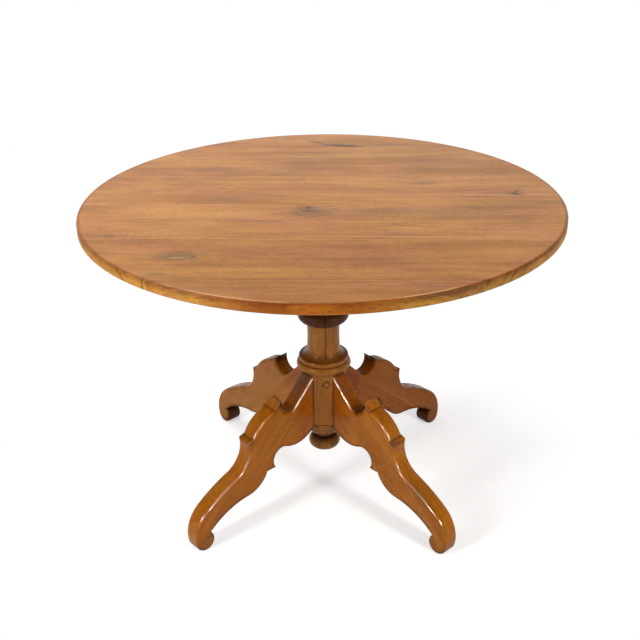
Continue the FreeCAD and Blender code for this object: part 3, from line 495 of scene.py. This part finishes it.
def wood(surface, grain, board, figure):
    """Colour and fine height of a board, in a frame with X along the grain and Z through the board."""
    seed = board.seed
    along, across, depth = surface.parts(grain)
    torn = surface.swing(grain, TORN_OUTLINE, seed)
    side = across + surface.swing(grain, HEART_DRIFT, seed) * board.wander
    radius = surface.length(side - board.heart_across, depth - board.heart_depth + along * board.lean)
    shares = [mark_share(surface, grain, mark, torn) for mark in board.marks]
    for mark, share in zip(board.marks, shares):
        if mark.lift:
            radius = radius + share * mark.lift
    bent = surface.join(along, side, depth)
    colour = broad_figure(surface, bent, radius, board, figure)
    colour = surface.mix(surface.patches(bent, DARK_STREAKS, seed), colour, figure.grey)
    colour = surface.mix(surface.patches(grain, DASHES, seed), colour, figure.grey)
    hue = surface.patches(bent, HUES, seed, figure.size)
    colour = surface.tinted(colour, surface.mix(hue, PINK_TINT, OLIVE_TINT))
    for mark, share in zip(board.marks, shares):
        colour = surface.mix(share * mark.share, colour, mark.colour)
    mottle = surface.swing(grain, MOTTLE, seed)
    fine = surface.line_noise(radius, FINE_RINGS, seed)
    fleck = surface.noise(grain, FLECKS, seed)
    shade = mottle * MOTTLE_SHADE + (fine - NOISE_MIDDLE) * FINE_SHADE
    shade = shade - surface.step(fleck, *FLECK_SHADE) + MEAN_SHADE
    height = fine * FINE_HEIGHT - surface.step(fleck, *FLECK_DEPTH)
    return surface.scaled(colour, shade), height


# Wood finishes: how deep the grain stands, how round an edge looks, and bare wood's dust and shade
GRAIN_RELIEF = 0.00006
EDGE_ROUND = 0.0020
BARE_DUST = 0.45
BARE_SHADE = 0.7
BARE_IOR = 1.3

# Painted shade: darker and redder where faces close a point in within a broad reach, and dark in the seams
RECESS_REACH = 0.120
RECESS = (0.20, 0.70)
RECESS_SHADE_TINT = (0.42, 0.27, 0.18)
SEAM_REACH = 0.018
SEAM = (0.15, 0.65)


def dulled(surface, colour):
    """Wood without varnish, darkened by age."""
    return surface.mix(BARE_DUST, surface.scaled(colour, BARE_SHADE), GREY_WOOD)


def painted_recess_shade(surface, colour, seam_shade_share, recess_shade_share):
    """Painted shade: dark in the seams, and deeper and redder wherever nearby faces close a point in."""
    recess = surface.step(surface.crevice(RECESS_REACH), *RECESS, 0.0, recess_shade_share)
    colour = surface.stained(recess, colour, RECESS_SHADE_TINT)
    return surface.mix(surface.step(surface.crevice(SEAM_REACH), *SEAM, 0.0, seam_shade_share), colour, GRIME_AND_SHADE)


# The rim's upper round, where its facets are smoothed
RIM_ROUND = 0.004
ROUND_START = (-0.0002, 0.0002)

# The rim's tints: along the grain, on its ends to the left and right, the right end darker partly as a
# painted shade, in its rings and pits, and a painted shade near its top
RIM_TINT = (0.82, 0.53, 0.08)
LEFT_END_TINT = (1.30, 1.36, 0.76)
RIGHT_END_TINT_AND_SHADE = (0.80, 0.88, 0.50)
LEFT_TO_RIGHT = (0.06, 0.28)
END_GRAIN = (0.005, 0.12)
END_RINGS = Noise((0.009,), seed=53.0, detail=1.0, limits=(0.54, 0.66))
RINGED_PATCHES = Noise((0.12, 0.12, 0.12), detail=1.0, limits=(0.42, 0.58, 0.1, 0.7))
RING_TINT = (0.50, 0.40, 0.32)
UNEVEN_SHADE = Noise((0.060, 0.060, 0.016), seed=43.0, detail=3.0)
UNEVEN_RISE = 0.9
UPPER_RIM_SHADE = (0.35, 0.95)
UPPER_RIM_SHADE_TINT = (0.80, 0.66, 0.50)
UPPER_END_SHADE_TINT = (0.50, 0.42, 0.30)
PITS = Noise((0.010, 0.010, 0.005), seed=41.0, detail=3.0, limits=(0.56, 0.72))
PITTED_PATCHES = Noise((0.20, 0.20, 0.20), seed=47.0, limits=(0.40, 0.60, 0.08, 0.8))
PITTED_TO_RIGHT = (-0.05, 0.22, -0.10, 0.15)
PIT_TINT = (0.30, 0.24, 0.18)

# A painted highlight on the near edge, at these places along X, with these half lengths, on a line just
# inside the round
EDGE_HIGHLIGHTS = ((-0.160, 0.130), (0.205, 0.080))
EDGE_HIGHLIGHT_INSIDE = (-0.0050, -0.0036)
EDGE_HIGHLIGHT_OUTSIDE = (0.0010, -0.0012)
EDGE_HIGHLIGHT_TEAR = Noise((0.030, 0.030, 0.030), seed=3.0, detail=3.0)
EDGE_HIGHLIGHT_RAGGED = 2.0
EDGE_HIGHLIGHT_SHARE = 0.7
NEAR_SIDE = (0.0, -0.1)

# The top: specks, pale lines along the joints that fade in places, and a satin varnish that is duller on the
# rim
SPECKS = Noise((0.0045, 0.0028, 0.0028), seed=59.0, detail=1.0, limits=(0.72, 0.80))
SPECKED_PATCHES = Noise((0.14, 0.08, 0.08), seed=61.0, limits=(0.46, 0.60, 0.1, 0.7))
JOINT_LINE_PATCHES = Noise((0.12, 0.02, 0.02), seed=37.0, limits=(0.36, 0.56, 0.0, 0.7))
JOINT_LINE_FAR = 0.0022
JOINT_LINE_CLOSE = 0.0008
UPPER_FACE = (0.3, 0.95)
LOWER_FACE = (-0.3, -0.95)
RIM_INSET = (0.001, 0.010)
TOP_SMUDGES = Noise((0.16, 0.10, 0.05), detail=3.0)
TOP_SMUDGE = 0.16
TOP_POLISH = 0.30
RIM_ROUGHNESS = 0.52
TOP_IOR = 1.28


def rim_normal(surface):
    """The normal of a plank, with the facets of the rim's upper edge smoothed to a round."""
    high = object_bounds()[1]
    x, y, z = surface.parts(surface.place)
    radial = surface.length(x, y)
    out = radial - (high.x - RIM_ROUND)
    up = z - (high.z - RIM_ROUND)
    smooth = surface.unit(surface.join(x / radial * out, y / radial * out, up))
    flat = surface.normal()
    share = surface.step(out, *ROUND_START) * surface.step(up, *ROUND_START)
    return surface.vector("ADD", flat, surface.scaled(surface.vector("SUBTRACT", smooth, flat), share))


def rim_colour(surface, colour, board, low, high):
    """The rim: red-brown along the grain, yellow where the grain ends, darker at its right end partly as a
    painted shade, and a painted shade under its upper edge.
    """
    place = surface.place
    x, y, z = surface.parts(place)
    outward = surface.facing()[0]
    end_grain = surface.step(outward * outward, *END_GRAIN)
    ends = surface.mix(surface.step(x, *LEFT_TO_RIGHT), LEFT_END_TINT, RIGHT_END_TINT_AND_SHADE)
    tint = surface.mix(end_grain, RIM_TINT, ends)
    radius = surface.length(y - board.heart_across, z - board.heart_depth)
    rings = surface.step(surface.line_noise(radius, END_RINGS, board.seed), *END_RINGS.limits)
    ringed = rings * surface.patches(place, RINGED_PATCHES, board.seed) * end_grain
    tint = surface.stained(ringed, tint, RING_TINT)
    level = (z - low.z) / (high.z - low.z)
    uneven = surface.swing(place, UNEVEN_SHADE, board.seed)
    upper = surface.step(level + uneven * UNEVEN_RISE, *UPPER_RIM_SHADE)
    tint = surface.stained(upper, tint, surface.mix(end_grain, UPPER_RIM_SHADE_TINT, UPPER_END_SHADE_TINT))
    pits = surface.patches(place, PITS, board.seed)
    pitted = surface.noise(place, PITTED_PATCHES, board.seed) + surface.step(x, *PITTED_TO_RIGHT)
    tint = surface.mix(pits * surface.step(pitted, *PITTED_PATCHES.limits), tint, PIT_TINT)
    return surface.tinted(colour, tint)


def painted_edge_highlight(surface, colour):
    """A thin pale line on the rim's upper edge at its near side: a painted highlight."""
    x, y = surface.parts(surface.place)[:2]
    out = surface.length(x, y) - (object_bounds()[1].x - RIM_ROUND)
    line = surface.between(out, EDGE_HIGHLIGHT_INSIDE, EDGE_HIGHLIGHT_OUTSIDE) * surface.step(y, *NEAR_SIDE)
    ragged = surface.swing(surface.place, EDGE_HIGHLIGHT_TEAR) * EDGE_HIGHLIGHT_RAGGED
    for along, half_length in EDGE_HIGHLIGHTS:
        gap = x - along
        highlight_share = surface.step(gap * gap / half_length ** 2 + ragged, 1.0, 0.0, 0.0, EDGE_HIGHLIGHT_SHARE)
        colour = surface.mix(line * highlight_share, colour, PALE_STREAK_AND_HIGHLIGHT)
    return colour


def plank_material(name, board):
    """A plank of the top: specked satin wood, pale lines along its joints, a rim of its own with a painted
    highlight on its near edge, and a bare underside.
    """
    surface = Surface(name)
    place = surface.place
    colour, height = wood(surface, place, board, TOP_FIGURE)
    bare = dulled(surface, colour)
    specks = surface.patches(place, SPECKS, board.seed) * surface.patches(place, SPECKED_PATCHES, board.seed)
    colour = surface.mix(specks, colour, KNOT_HEART)
    x, y = surface.parts(place)[:2]
    low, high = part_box(name)
    joint_lines_shown = surface.patches(place, JOINT_LINE_PATCHES, board.seed)
    for joint in (low.y, high.y):
        line = surface.near(y - joint, JOINT_LINE_FAR, JOINT_LINE_CLOSE)
        colour = surface.mix(line * joint_lines_shown, colour, GOLDEN_WOOD)
    facing_up = surface.facing()[2]
    upper = surface.step(facing_up, *UPPER_FACE)
    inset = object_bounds()[1].x - surface.length(x, y)
    rim = rim_colour(surface, colour, board, low, high)
    colour = surface.mix(upper * surface.step(inset, *RIM_INSET), rim, colour)
    # A painted highlight along the rim's near upper edge
    colour = painted_edge_highlight(surface, colour)
    colour = surface.mix(surface.step(facing_up, *LOWER_FACE), colour, bare)
    smudge = surface.noise(place, TOP_SMUDGES, board.seed)
    roughness = smudge * TOP_SMUDGE - upper * TOP_POLISH + RIM_ROUGHNESS
    normal = surface.bump(height, GRAIN_RELIEF, rim_normal(surface))
    return surface.finish(colour, roughness, normal, TOP_IOR)


# Legs: the slope that their grain follows, and limits on a part of a face's normal or on its square
LEG_SLOPE = math.radians(42.0)
LOOKS_UP = (0.05, 0.30)
SAWN_FACE = (0.40, 0.05)
SAWN_UPPER_FACE = (0.0, 0.2)

# Edges of the legs: gold where they look up, partly wear and partly a painted highlight; dark along the side
# faces, partly dirt and partly a painted shade; and worn most on the shin and the toe
LEG_EDGE_REACH = 0.010
LEG_GOLD_EDGE = (0.15, 0.7, 0.0, 0.25)
LEG_DARK_EDGE = (0.10, 0.42, 0.0, 0.80)
WEAR = Noise((0.040, 0.020, 0.040), seed=9.0, detail=3.0, limits=(0.52, 0.62))
SHIN_START = (0.280, 0.300)
SHIN_END = (0.375, 0.355)
TOE = (0.405, 0.425)
SHIN_AND_TOE_WEAR = 0.12
WORN_EDGE_REACH = 0.016
WORN_EDGE = (0.12, 0.36)
WORN_EDGE_SHARE = 0.70

# Colour of the legs by how far out they reach: darker and redder beside the column as a painted shade, and a
# brown stain on the strap, greyed partly as a painted sheen
STAIN_AND_SHADE_NOISE = Noise((0.040, 0.040, 0.020), seed=5.0, detail=3.0, limits=(0.25, 0.60, 0.5, 1.0))
SHADE_AND_STAIN_WAVER = 0.06
INNER_SHADE = (0.128, 0.084)
INNER_SHADE_TINT = (0.80, 0.66, 0.70)
STRAP_STAIN = (0.106, 0.084)

# How far out two upper faces of a leg meet in a corner, darkened with a line of painted shade, first at the
# foot of the scoop
LEG_CREASES = (0.1280, 0.1735, 0.2385)
CREASE_WAVER = 0.008
CREASE_FAR = 0.0035
CREASE_CLOSE = 0.0008
CREASE_SHARE = 0.55

# Painted shade on the faces of the legs that look down, on the inner face of the foot, and in their seams and
# recesses
HIDDEN_FACE = (-0.1, -0.6, 0.0, 0.75)
HEEL = (0.30, 0.34)
LEG_SEAM_SHADE = 0.9
LEG_RECESS_SHADE = 0.8

# The legs' varnish: glossy with duller smudges, wavy, and dull where it is worn
LEG_SMUDGES = Noise((0.06, 0.06, 0.06), detail=3.0, limits=(0.36, 0.62, 0.12, 0.26))
LEG_WAVES = Noise((0.030, 0.030, 0.030))
WAVE_RELIEF = 0.0005
WORN_DULL = 0.15
WORN_EDGE_DULL = 0.40
LEG_IOR = 1.21


def leg_edges(surface, colour, upward):
    """Gold on the edges that look up, partly wear and partly a painted highlight, and dark lines along those
    of the side faces, partly dirt and partly a painted shade.
    """
    edge = surface.edge(LEG_EDGE_REACH)
    colour = surface.mix(surface.step(edge, *LEG_GOLD_EDGE) * upward, colour, LEG_FIGURE.golden)
    return surface.mix(surface.step(edge, *LEG_DARK_EDGE) * (1.0 - upward), colour, WORN_BROWN_AND_SHADE)


def leg_wear(surface, outward, reach, seed):
    """Where the varnish is worn, mostly on the shin and the toe, and the worn stretches of the edges."""
    shin_and_toe = surface.between(reach, SHIN_START, SHIN_END) + surface.step(reach, *TOE)
    wear = surface.noise(outward, WEAR, seed) + shin_and_toe * SHIN_AND_TOE_WEAR
    worn = surface.step(wear, *WEAR.limits)
    return worn, surface.step(surface.edge(WORN_EDGE_REACH), *WORN_EDGE) * worn


def leg_shade_and_stain(surface, colour, reach, stain_and_shade_noise, sawn_face, strap_share):
    """A painted shade beside the column, and the darker stain on the strap, greyed partly as a painted sheen.
    """
    shade_and_stain_reach = reach + (stain_and_shade_noise - NOISE_MIDDLE) * SHADE_AND_STAIN_WAVER
    colour = surface.stained(surface.step(shade_and_stain_reach, *INNER_SHADE), colour, INNER_SHADE_TINT)
    strap = surface.step(shade_and_stain_reach, *STRAP_STAIN) * sawn_face * surface.step(stain_and_shade_noise, *STAIN_AND_SHADE_NOISE.limits)
    return surface.mix(strap * strap_share, colour, STRAP_BROWN_AND_SHEEN)


def leg_painted_shade(surface, colour, reach, stain_and_shade_noise, sawn_face, facing):
    """Painted shade in the creases of the upper outline, on the faces that look down and on the heel."""
    upper_face = sawn_face * surface.step(facing[2], *SAWN_UPPER_FACE)
    wavering_reach = reach + (stain_and_shade_noise - NOISE_MIDDLE) * CREASE_WAVER
    for crease in LEG_CREASES:
        line = surface.near(wavering_reach - crease, CREASE_FAR, CREASE_CLOSE, CREASE_SHARE)
        colour = surface.mix(line * upper_face, colour, GRIME_AND_SHADE)
    under = surface.step(facing[2], *HIDDEN_FACE)
    heel = surface.step(facing[0], *HIDDEN_FACE) * surface.step(reach, *HEEL)
    return surface.mix(surface.math("MAXIMUM", under, heel), colour, GRIME_AND_SHADE)


def leg_material(name, board, azimuth, strap_share):
    """A leg: the grain follows its slope, its edges are worn and carry a painted highlight and shade, its
    strap is stained, and its creases, lower faces, corners and the stretch beside the column get painted
    shade.
    """
    surface = Surface(name)
    to_leg = (0.0, 0.0, -azimuth)
    outward = surface.turned(surface.place, to_leg)
    along, sideways, upright = surface.parts(surface.turned(outward, (0.0, -LEG_SLOPE, 0.0)))
    colour, height = wood(surface, surface.join(along, upright, sideways), board, LEG_FIGURE)
    reach = surface.parts(outward)[0]
    facing = surface.parts(surface.turned(surface.normal(), to_leg))
    colour = leg_edges(surface, colour, surface.step(facing[2], *LOOKS_UP))
    worn, worn_edge = leg_wear(surface, outward, reach, board.seed)
    colour = surface.mix(worn_edge * WORN_EDGE_SHARE, colour, WORN_BROWN_AND_SHADE)
    sawn_face = surface.step(facing[1] * facing[1], *SAWN_FACE)
    stain_and_shade_noise = surface.noise(outward, STAIN_AND_SHADE_NOISE, board.seed)
    colour = leg_shade_and_stain(surface, colour, reach, stain_and_shade_noise, sawn_face, strap_share)
    colour = leg_painted_shade(surface, colour, reach, stain_and_shade_noise, sawn_face, facing)
    # Painted shade in the seams and recesses
    colour = painted_recess_shade(surface, colour, LEG_SEAM_SHADE, LEG_RECESS_SHADE)
    wave = surface.noise(surface.place, LEG_WAVES, board.seed)
    normal = surface.bump(wave, WAVE_RELIEF, surface.rounded(EDGE_ROUND))
    normal = surface.bump(height, GRAIN_RELIEF, normal)
    roughness = surface.patches(surface.place, LEG_SMUDGES, board.seed)
    roughness = roughness + worn * WORN_DULL + worn_edge * WORN_EDGE_DULL
    return surface.finish(colour, roughness, normal, LEG_IOR)


# Turnings: heights of the flange and of the hollow over the flare, both darkened as a painted shade, and of
# the drop, lightened as a painted sheen, and their tints
FLANGE_START = (0.438, 0.456)
FLANGE_END = (0.494, 0.480)
FLANGE_SHADE_TINT = (0.22, 0.16, 0.06)
FLARE_START = (0.355, 0.358)
FLARE_END = (0.378, 0.362)
FLARE_SHADE_TINT = (0.55, 0.50, 0.42)
DROP = (0.146, 0.128)
DROP_SHEEN_TINT = (1.20, 1.45, 2.40)

# Edges, painted shade and varnish of the turnings, and grime round the pegs
TURNED_EDGE_REACH = 0.005
TURNED_GOLD_EDGE = (0.15, 0.7, 0.0, 0.3)
PEG_TEAR = Noise((0.006, 0.006, 0.008))
PEG_RAGGED = 0.014
PEG_GRIME = (0.0125, 0.0065, 0.0, 0.70)
PEG_GRIME_FAR = 0.05
PEG_GRIME_CLOSE = 0.03
TURNED_SEAM_SHADE = 0.65
TURNED_RECESS_SHADE = 1.0
LATHE_RINGS = Noise((0.0016,), detail=1.0)
LATHE_HEIGHT = 0.4
TURNED_SMUDGES = Noise((0.04, 0.04, 0.04), detail=3.0)
TURNED_SMUDGE = 0.20
FLANGE_DULL = 0.20
TURNED_ROUGHNESS = 0.16
TURNED_IOR = 1.25

# A peg's dark joint, by the distance from its axis
PEG_JOINT = (0.0030, 0.0060, 0.0, 0.75)
PEG_ROUGHNESS = 0.30


def peg_place(surface, name):
    """How far a point lies from a peg's axis, and how far along it from the peg's middle."""
    low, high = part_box(name)
    x, y, z = surface.parts(surface.vector("SUBTRACT", surface.place, tuple((low + high) / 2)))
    size = high - low
    along, aside = (y, x) if size.y > size.x else (x, y)
    return surface.length(aside, z), along


def peg_grime(surface, colour, seed):
    """Grime on the column round every peg."""
    ragged = surface.swing(surface.place, PEG_TEAR, seed) * PEG_RAGGED
    for peg in PEGS:
        distance, along = peg_place(surface, peg)
        ring = surface.step(distance + ragged, *PEG_GRIME)
        colour = surface.mix(ring * surface.near(along, PEG_GRIME_FAR, PEG_GRIME_CLOSE), colour, GRIME_AND_SHADE)
    return colour


def turned_material(name, board):
    """The column and the drop finial: upright grain, faint lathe rings, painted shade on the flange, over the
    flare and in hollows, a painted sheen on the drop, and grime at pegs.
    """
    surface = Surface(name)
    x, y, z = surface.parts(surface.place)
    colour, height = wood(surface, surface.join(z, x, y), board, COLUMN_FIGURE)
    edge = surface.step(surface.edge(TURNED_EDGE_REACH), *TURNED_GOLD_EDGE)
    colour = surface.mix(edge, colour, COLUMN_FIGURE.golden)
    flange = surface.between(z, FLANGE_START, FLANGE_END)
    colour = surface.stained(flange, colour, FLANGE_SHADE_TINT)
    colour = surface.stained(surface.between(z, FLARE_START, FLARE_END), colour, FLARE_SHADE_TINT)
    colour = surface.stained(surface.step(z, *DROP), colour, DROP_SHEEN_TINT)
    colour = peg_grime(surface, colour, board.seed)
    # Painted shade in the seams and recesses
    colour = painted_recess_shade(surface, colour, TURNED_SEAM_SHADE, TURNED_RECESS_SHADE)
    lathe = surface.line_noise(z, LATHE_RINGS, board.seed)
    normal = surface.bump(lathe * LATHE_HEIGHT + height, GRAIN_RELIEF, surface.rounded(EDGE_ROUND))
    smudge = surface.noise(surface.place, TURNED_SMUDGES, board.seed)
    roughness = smudge * TURNED_SMUDGE + flange * FLANGE_DULL + TURNED_ROUGHNESS
    return surface.finish(colour, roughness, normal, TURNED_IOR)


def peg_material(name):
    """A peg's sawn end: pale in the middle, with a dark joint round it."""
    surface = Surface(name)
    colour, height = wood(surface, surface.place, PEG_BOARD, COLUMN_FIGURE)
    distance = peg_place(surface, name)[0]
    colour = surface.mix(surface.step(distance, *PEG_JOINT), colour, GRIME_AND_SHADE)
    return surface.finish(colour, PEG_ROUGHNESS, surface.bump(height, GRAIN_RELIEF), TURNED_IOR)


# Hidden pieces: the wedge, the battens and the bearer disc
WEDGE_ROUGHNESS = 0.6
# Painted shade in the corners of bare wood
BARE_CORNER_REACH = 0.03
BARE_CORNER_SHADE = 0.7
DUST = Noise((0.05, 0.05, 0.05), detail=3.0)
DUST_SMUDGE = 0.2
BARE_ROUGHNESS = 0.6
BARE_RELIEF = 0.00012

# Screws: dull steel with specks of rust
RUST = Noise((0.004, 0.004, 0.004), seed=5.0, detail=3.0, limits=(0.5, 0.7))
STEEL_GREY = (0.33, 0.31, 0.28)
RUST_BROWN = (0.16, 0.07, 0.03)
STEEL_METALLIC = 0.9
STEEL_ROUGHNESS = 0.25
RUST_ROUGHNESS = 0.4
RUST_RELIEF = 0.0001
STEEL_IOR = 1.45


def wedge_material(name):
    """The wedge in the spigot: bare wood, upright grain."""
    surface = Surface(name)
    x, y, z = surface.parts(surface.place)
    colour, height = wood(surface, surface.join(z, x, y), WEDGE_BOARD, COLUMN_FIGURE)
    return surface.finish(colour, WEDGE_ROUGHNESS, surface.bump(height, GRAIN_RELIEF), BARE_IOR)


def bare_material(name, board, turn):
    """Bare wood under the top, darkened by age, with painted shade in its corners."""
    surface = Surface(name)
    grain = surface.turned(surface.place, (0.0, 0.0, turn))
    colour, height = wood(surface, grain, board, TOP_FIGURE)
    corners = surface.crevice(BARE_CORNER_REACH) * BARE_CORNER_SHADE
    colour = surface.mix(corners, dulled(surface, colour), GRIME_AND_SHADE)
    roughness = surface.noise(surface.place, DUST, board.seed) * DUST_SMUDGE + BARE_ROUGHNESS
    return surface.finish(colour, roughness, surface.bump(height, BARE_RELIEF), BARE_IOR)


def screw_material(name):
    """Dull steel with specks of rust."""
    surface = Surface(name)
    rust = surface.noise(surface.place, RUST)
    colour = surface.mix(surface.step(rust, *RUST.limits), STEEL_GREY, RUST_BROWN)
    surface.feed(surface.shader.inputs["Metallic"], STEEL_METALLIC)
    roughness = rust * RUST_ROUGHNESS + STEEL_ROUGHNESS
    return surface.finish(colour, roughness, surface.bump(rust, RUST_RELIEF), STEEL_IOR)


def dress(name, material):
    """The node shows this material alone."""
    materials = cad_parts[name].data.materials
    materials.clear()
    materials.append(material)


def dress_table():
    """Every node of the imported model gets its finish."""
    for name, board in PLANKS.items():
        dress(name, plank_material(name, board))
    for name, board in LEGS.items():
        low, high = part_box(name)
        middle = (low + high) / 2
        dress(name, leg_material(name, board, math.atan2(middle.y, middle.x), STRAP_SHARES[name]))
    for name in TURNINGS:
        dress(name, turned_material(name, COLUMN_BOARD))
    for name in PEGS:
        dress(name, peg_material(name))
    dress("spigot_wedge", wedge_material("spigot_wedge"))
    for name in BATTENS:
        dress(name, bare_material(name, BARE_BOARD, math.pi / 2))
    dress("bearer_disc", bare_material("bearer_disc", BARE_BOARD, 0.0))
    steel = screw_material("screw_metal")
    for name in SCREWS:
        dress(name, steel)


# The photograph's camera, set round the table's upright axis
CAMERA_DISTANCE = 2.044
CAMERA_HEIGHT = 1.467
CAMERA_ASIDE = -0.0075
CAMERA_AZIMUTH = math.radians(2.35)
CAMERA_PITCH = math.radians(26.56)
CAMERA_ROLL = math.radians(-0.75)
CAMERA_LENS = 54.93


def place_camera():
    """The camera at the photograph's viewing angle."""
    data = bpy.data.cameras.new("photo_camera")
    data.lens = CAMERA_LENS
    camera = bpy.data.objects.new("photo_camera", data)
    scene.collection.objects.link(camera)
    around = Matrix.Rotation(CAMERA_AZIMUTH, 4, "Z")
    place = Matrix.Translation(Vector((CAMERA_ASIDE, -CAMERA_DISTANCE, CAMERA_HEIGHT)))
    tilt = Matrix.Rotation(math.pi / 2 - CAMERA_PITCH, 4, "X") @ Matrix.Rotation(CAMERA_ROLL, 4, "Z")
    camera.matrix_world = around @ place @ tilt
    scene.camera = camera


# The floor, whose glow is seen but lights nothing, and the distances over which its shadow fades to white
FLOOR_HALF_SIZE = 12.0
FLOOR_COLOUR = (0.80, 0.80, 0.80)
FLOOR_GLOW = 0.53
FLOOR_SHADOW_REACH = (0.46, 0.88)

# The room: its light, and limits on the Y and Z of a direction in which reflections show a white backdrop
WHITE = (1.0, 1.0, 1.0)
AMBIENT = 0.22
BACKDROP_GLOW = 1.0
BACKDROP_EDGE = (-0.25, 0.35)
BACKDROP_TOP = (0.44, 0.22)

# The lamps: those with a place on the right stand on the left too
SOFTBOX_PLACE = (2.0, -1.8, 1.6)
SOFTBOX_SIZE = (0.4, 1.4)
SOFTBOX_POWER = 40.0
GLINT_PLACE = (1.2, -2.4, 1.26)
GLINT_SIZE = (0.35, 0.35)
GLINT_POWER = 440.0
GLINT_COLOUR = (1.0, 0.94, 0.86)
GLINT_LEGS = ("leg_front_left", "leg_front_right")
OVERHEAD_PLACE = (-0.8, 0.6, 2.6)
OVERHEAD_SIZE = (1.4, 1.4)
OVERHEAD_POWER = 34.0
BASE_MIDDLE = (0.0, 0.0, 0.4)


def seen_ray(nodes, glossy_share=1.0):
    """One for rays from the camera and through glass, a share for reflected rays, and zero for the rest."""
    path = nodes.node("ShaderNodeLightPath")
    camera, glass, glossy = (
        Field(nodes, path.outputs[f"Is {kind} Ray"]) for kind in ("Camera", "Transmission", "Glossy"))
    return nodes.math("MAXIMUM", nodes.math("MAXIMUM", camera, glass), glossy * glossy_share)


def floor_material():
    """Pale, with a shadow near the table and plain white further out."""
    material = bpy.data.materials.new("floor")
    material.use_nodes = True
    nodes = Nodes(material.node_tree)
    nodes.tree.nodes.clear()
    seen = seen_ray(nodes)
    diffuse = nodes.add("ShaderNodeBsdfDiffuse", {"Color": FLOOR_COLOUR})
    glow = nodes.add("ShaderNodeEmission", {"Strength": seen * FLOOR_GLOW})
    lit = nodes.add("ShaderNodeAddShader", {0: diffuse, 1: glow})
    white = nodes.add("ShaderNodeEmission", {"Color": WHITE})
    distance = nodes.length(*nodes.parts(nodes.add("ShaderNodeTexCoord", output="Object")))
    plain = seen * nodes.step(distance, *FLOOR_SHADOW_REACH)
    look = nodes.add("ShaderNodeMixShader", {0: plain, 1: lit, 2: white})
    nodes.node("ShaderNodeOutputMaterial", {"Surface": look})
    return material


def make_floor():
    """A pale floor that stays near white and keeps the table's shadow."""
    half = FLOOR_HALF_SIZE
    corners = [(-half, -half, 0.0), (half, -half, 0.0), (half, half, 0.0), (-half, half, 0.0)]
    mesh = bpy.data.meshes.new("floor")
    mesh.from_pydata(corners, [], [(0, 1, 2, 3)])
    floor = bpy.data.objects.new("floor", mesh)
    scene.collection.objects.link(floor)
    mesh.materials.append(floor_material())


def make_world():
    """A white backdrop behind the table, in a room that lights the table gently."""
    world = bpy.data.worlds.new("studio")
    world.use_nodes = True
    nodes = Nodes(world.node_tree)
    back, up = nodes.parts(nodes.add("ShaderNodeTexCoord", output="Generated"))[1:]
    backdrop = nodes.step(back, *BACKDROP_EDGE) * nodes.step(up, *BACKDROP_TOP)
    strengths = {"Factor": seen_ray(nodes, backdrop), "A": AMBIENT, "B": BACKDROP_GLOW}
    background = nodes.tree.nodes["Background"]
    nodes.feed(background.inputs["Color"], WHITE)
    nodes.feed(background.inputs["Strength"], nodes.add("ShaderNodeMix", strengths))
    scene.world = world


def soft_lamp(name, place, size, power):
    """An area lamp of a given width and height that points at the table's middle."""
    data = bpy.data.lights.new(name, "AREA")
    data.shape = "RECTANGLE"
    data.size, data.size_y = size
    data.energy = power
    lamp = bpy.data.objects.new(name, data)
    scene.collection.objects.link(lamp)
    lamp.location = place
    lamp.rotation_euler = (Vector(BASE_MIDDLE) - Vector(place)).to_track_quat("-Z", "Y").to_euler()
    return lamp


def make_lamps():
    """A tall softbox on either side, a broad lamp overhead, and glints in the front legs' varnish alone."""
    varnished = bpy.data.collections.new("varnished_legs")
    for name in GLINT_LEGS:
        varnished.objects.link(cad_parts[name])
    for side, sign in (("left", -1.0), ("right", 1.0)):
        mirrored = Vector((sign, 1.0, 1.0))
        soft_lamp(f"{side}_lamp", Vector(SOFTBOX_PLACE) * mirrored, SOFTBOX_SIZE, SOFTBOX_POWER)
        glint = soft_lamp(f"{side}_glint", Vector(GLINT_PLACE) * mirrored, GLINT_SIZE, GLINT_POWER)
        glint.data.color = GLINT_COLOUR
        glint.visible_diffuse = False
        glint.light_linking.receiver_collection = varnished
    soft_lamp("overhead_lamp", OVERHEAD_PLACE, OVERHEAD_SIZE, OVERHEAD_POWER)


dress_table()
place_camera()
make_floor()
make_world()
make_lamps()
scene.view_settings.view_transform = "Standard"
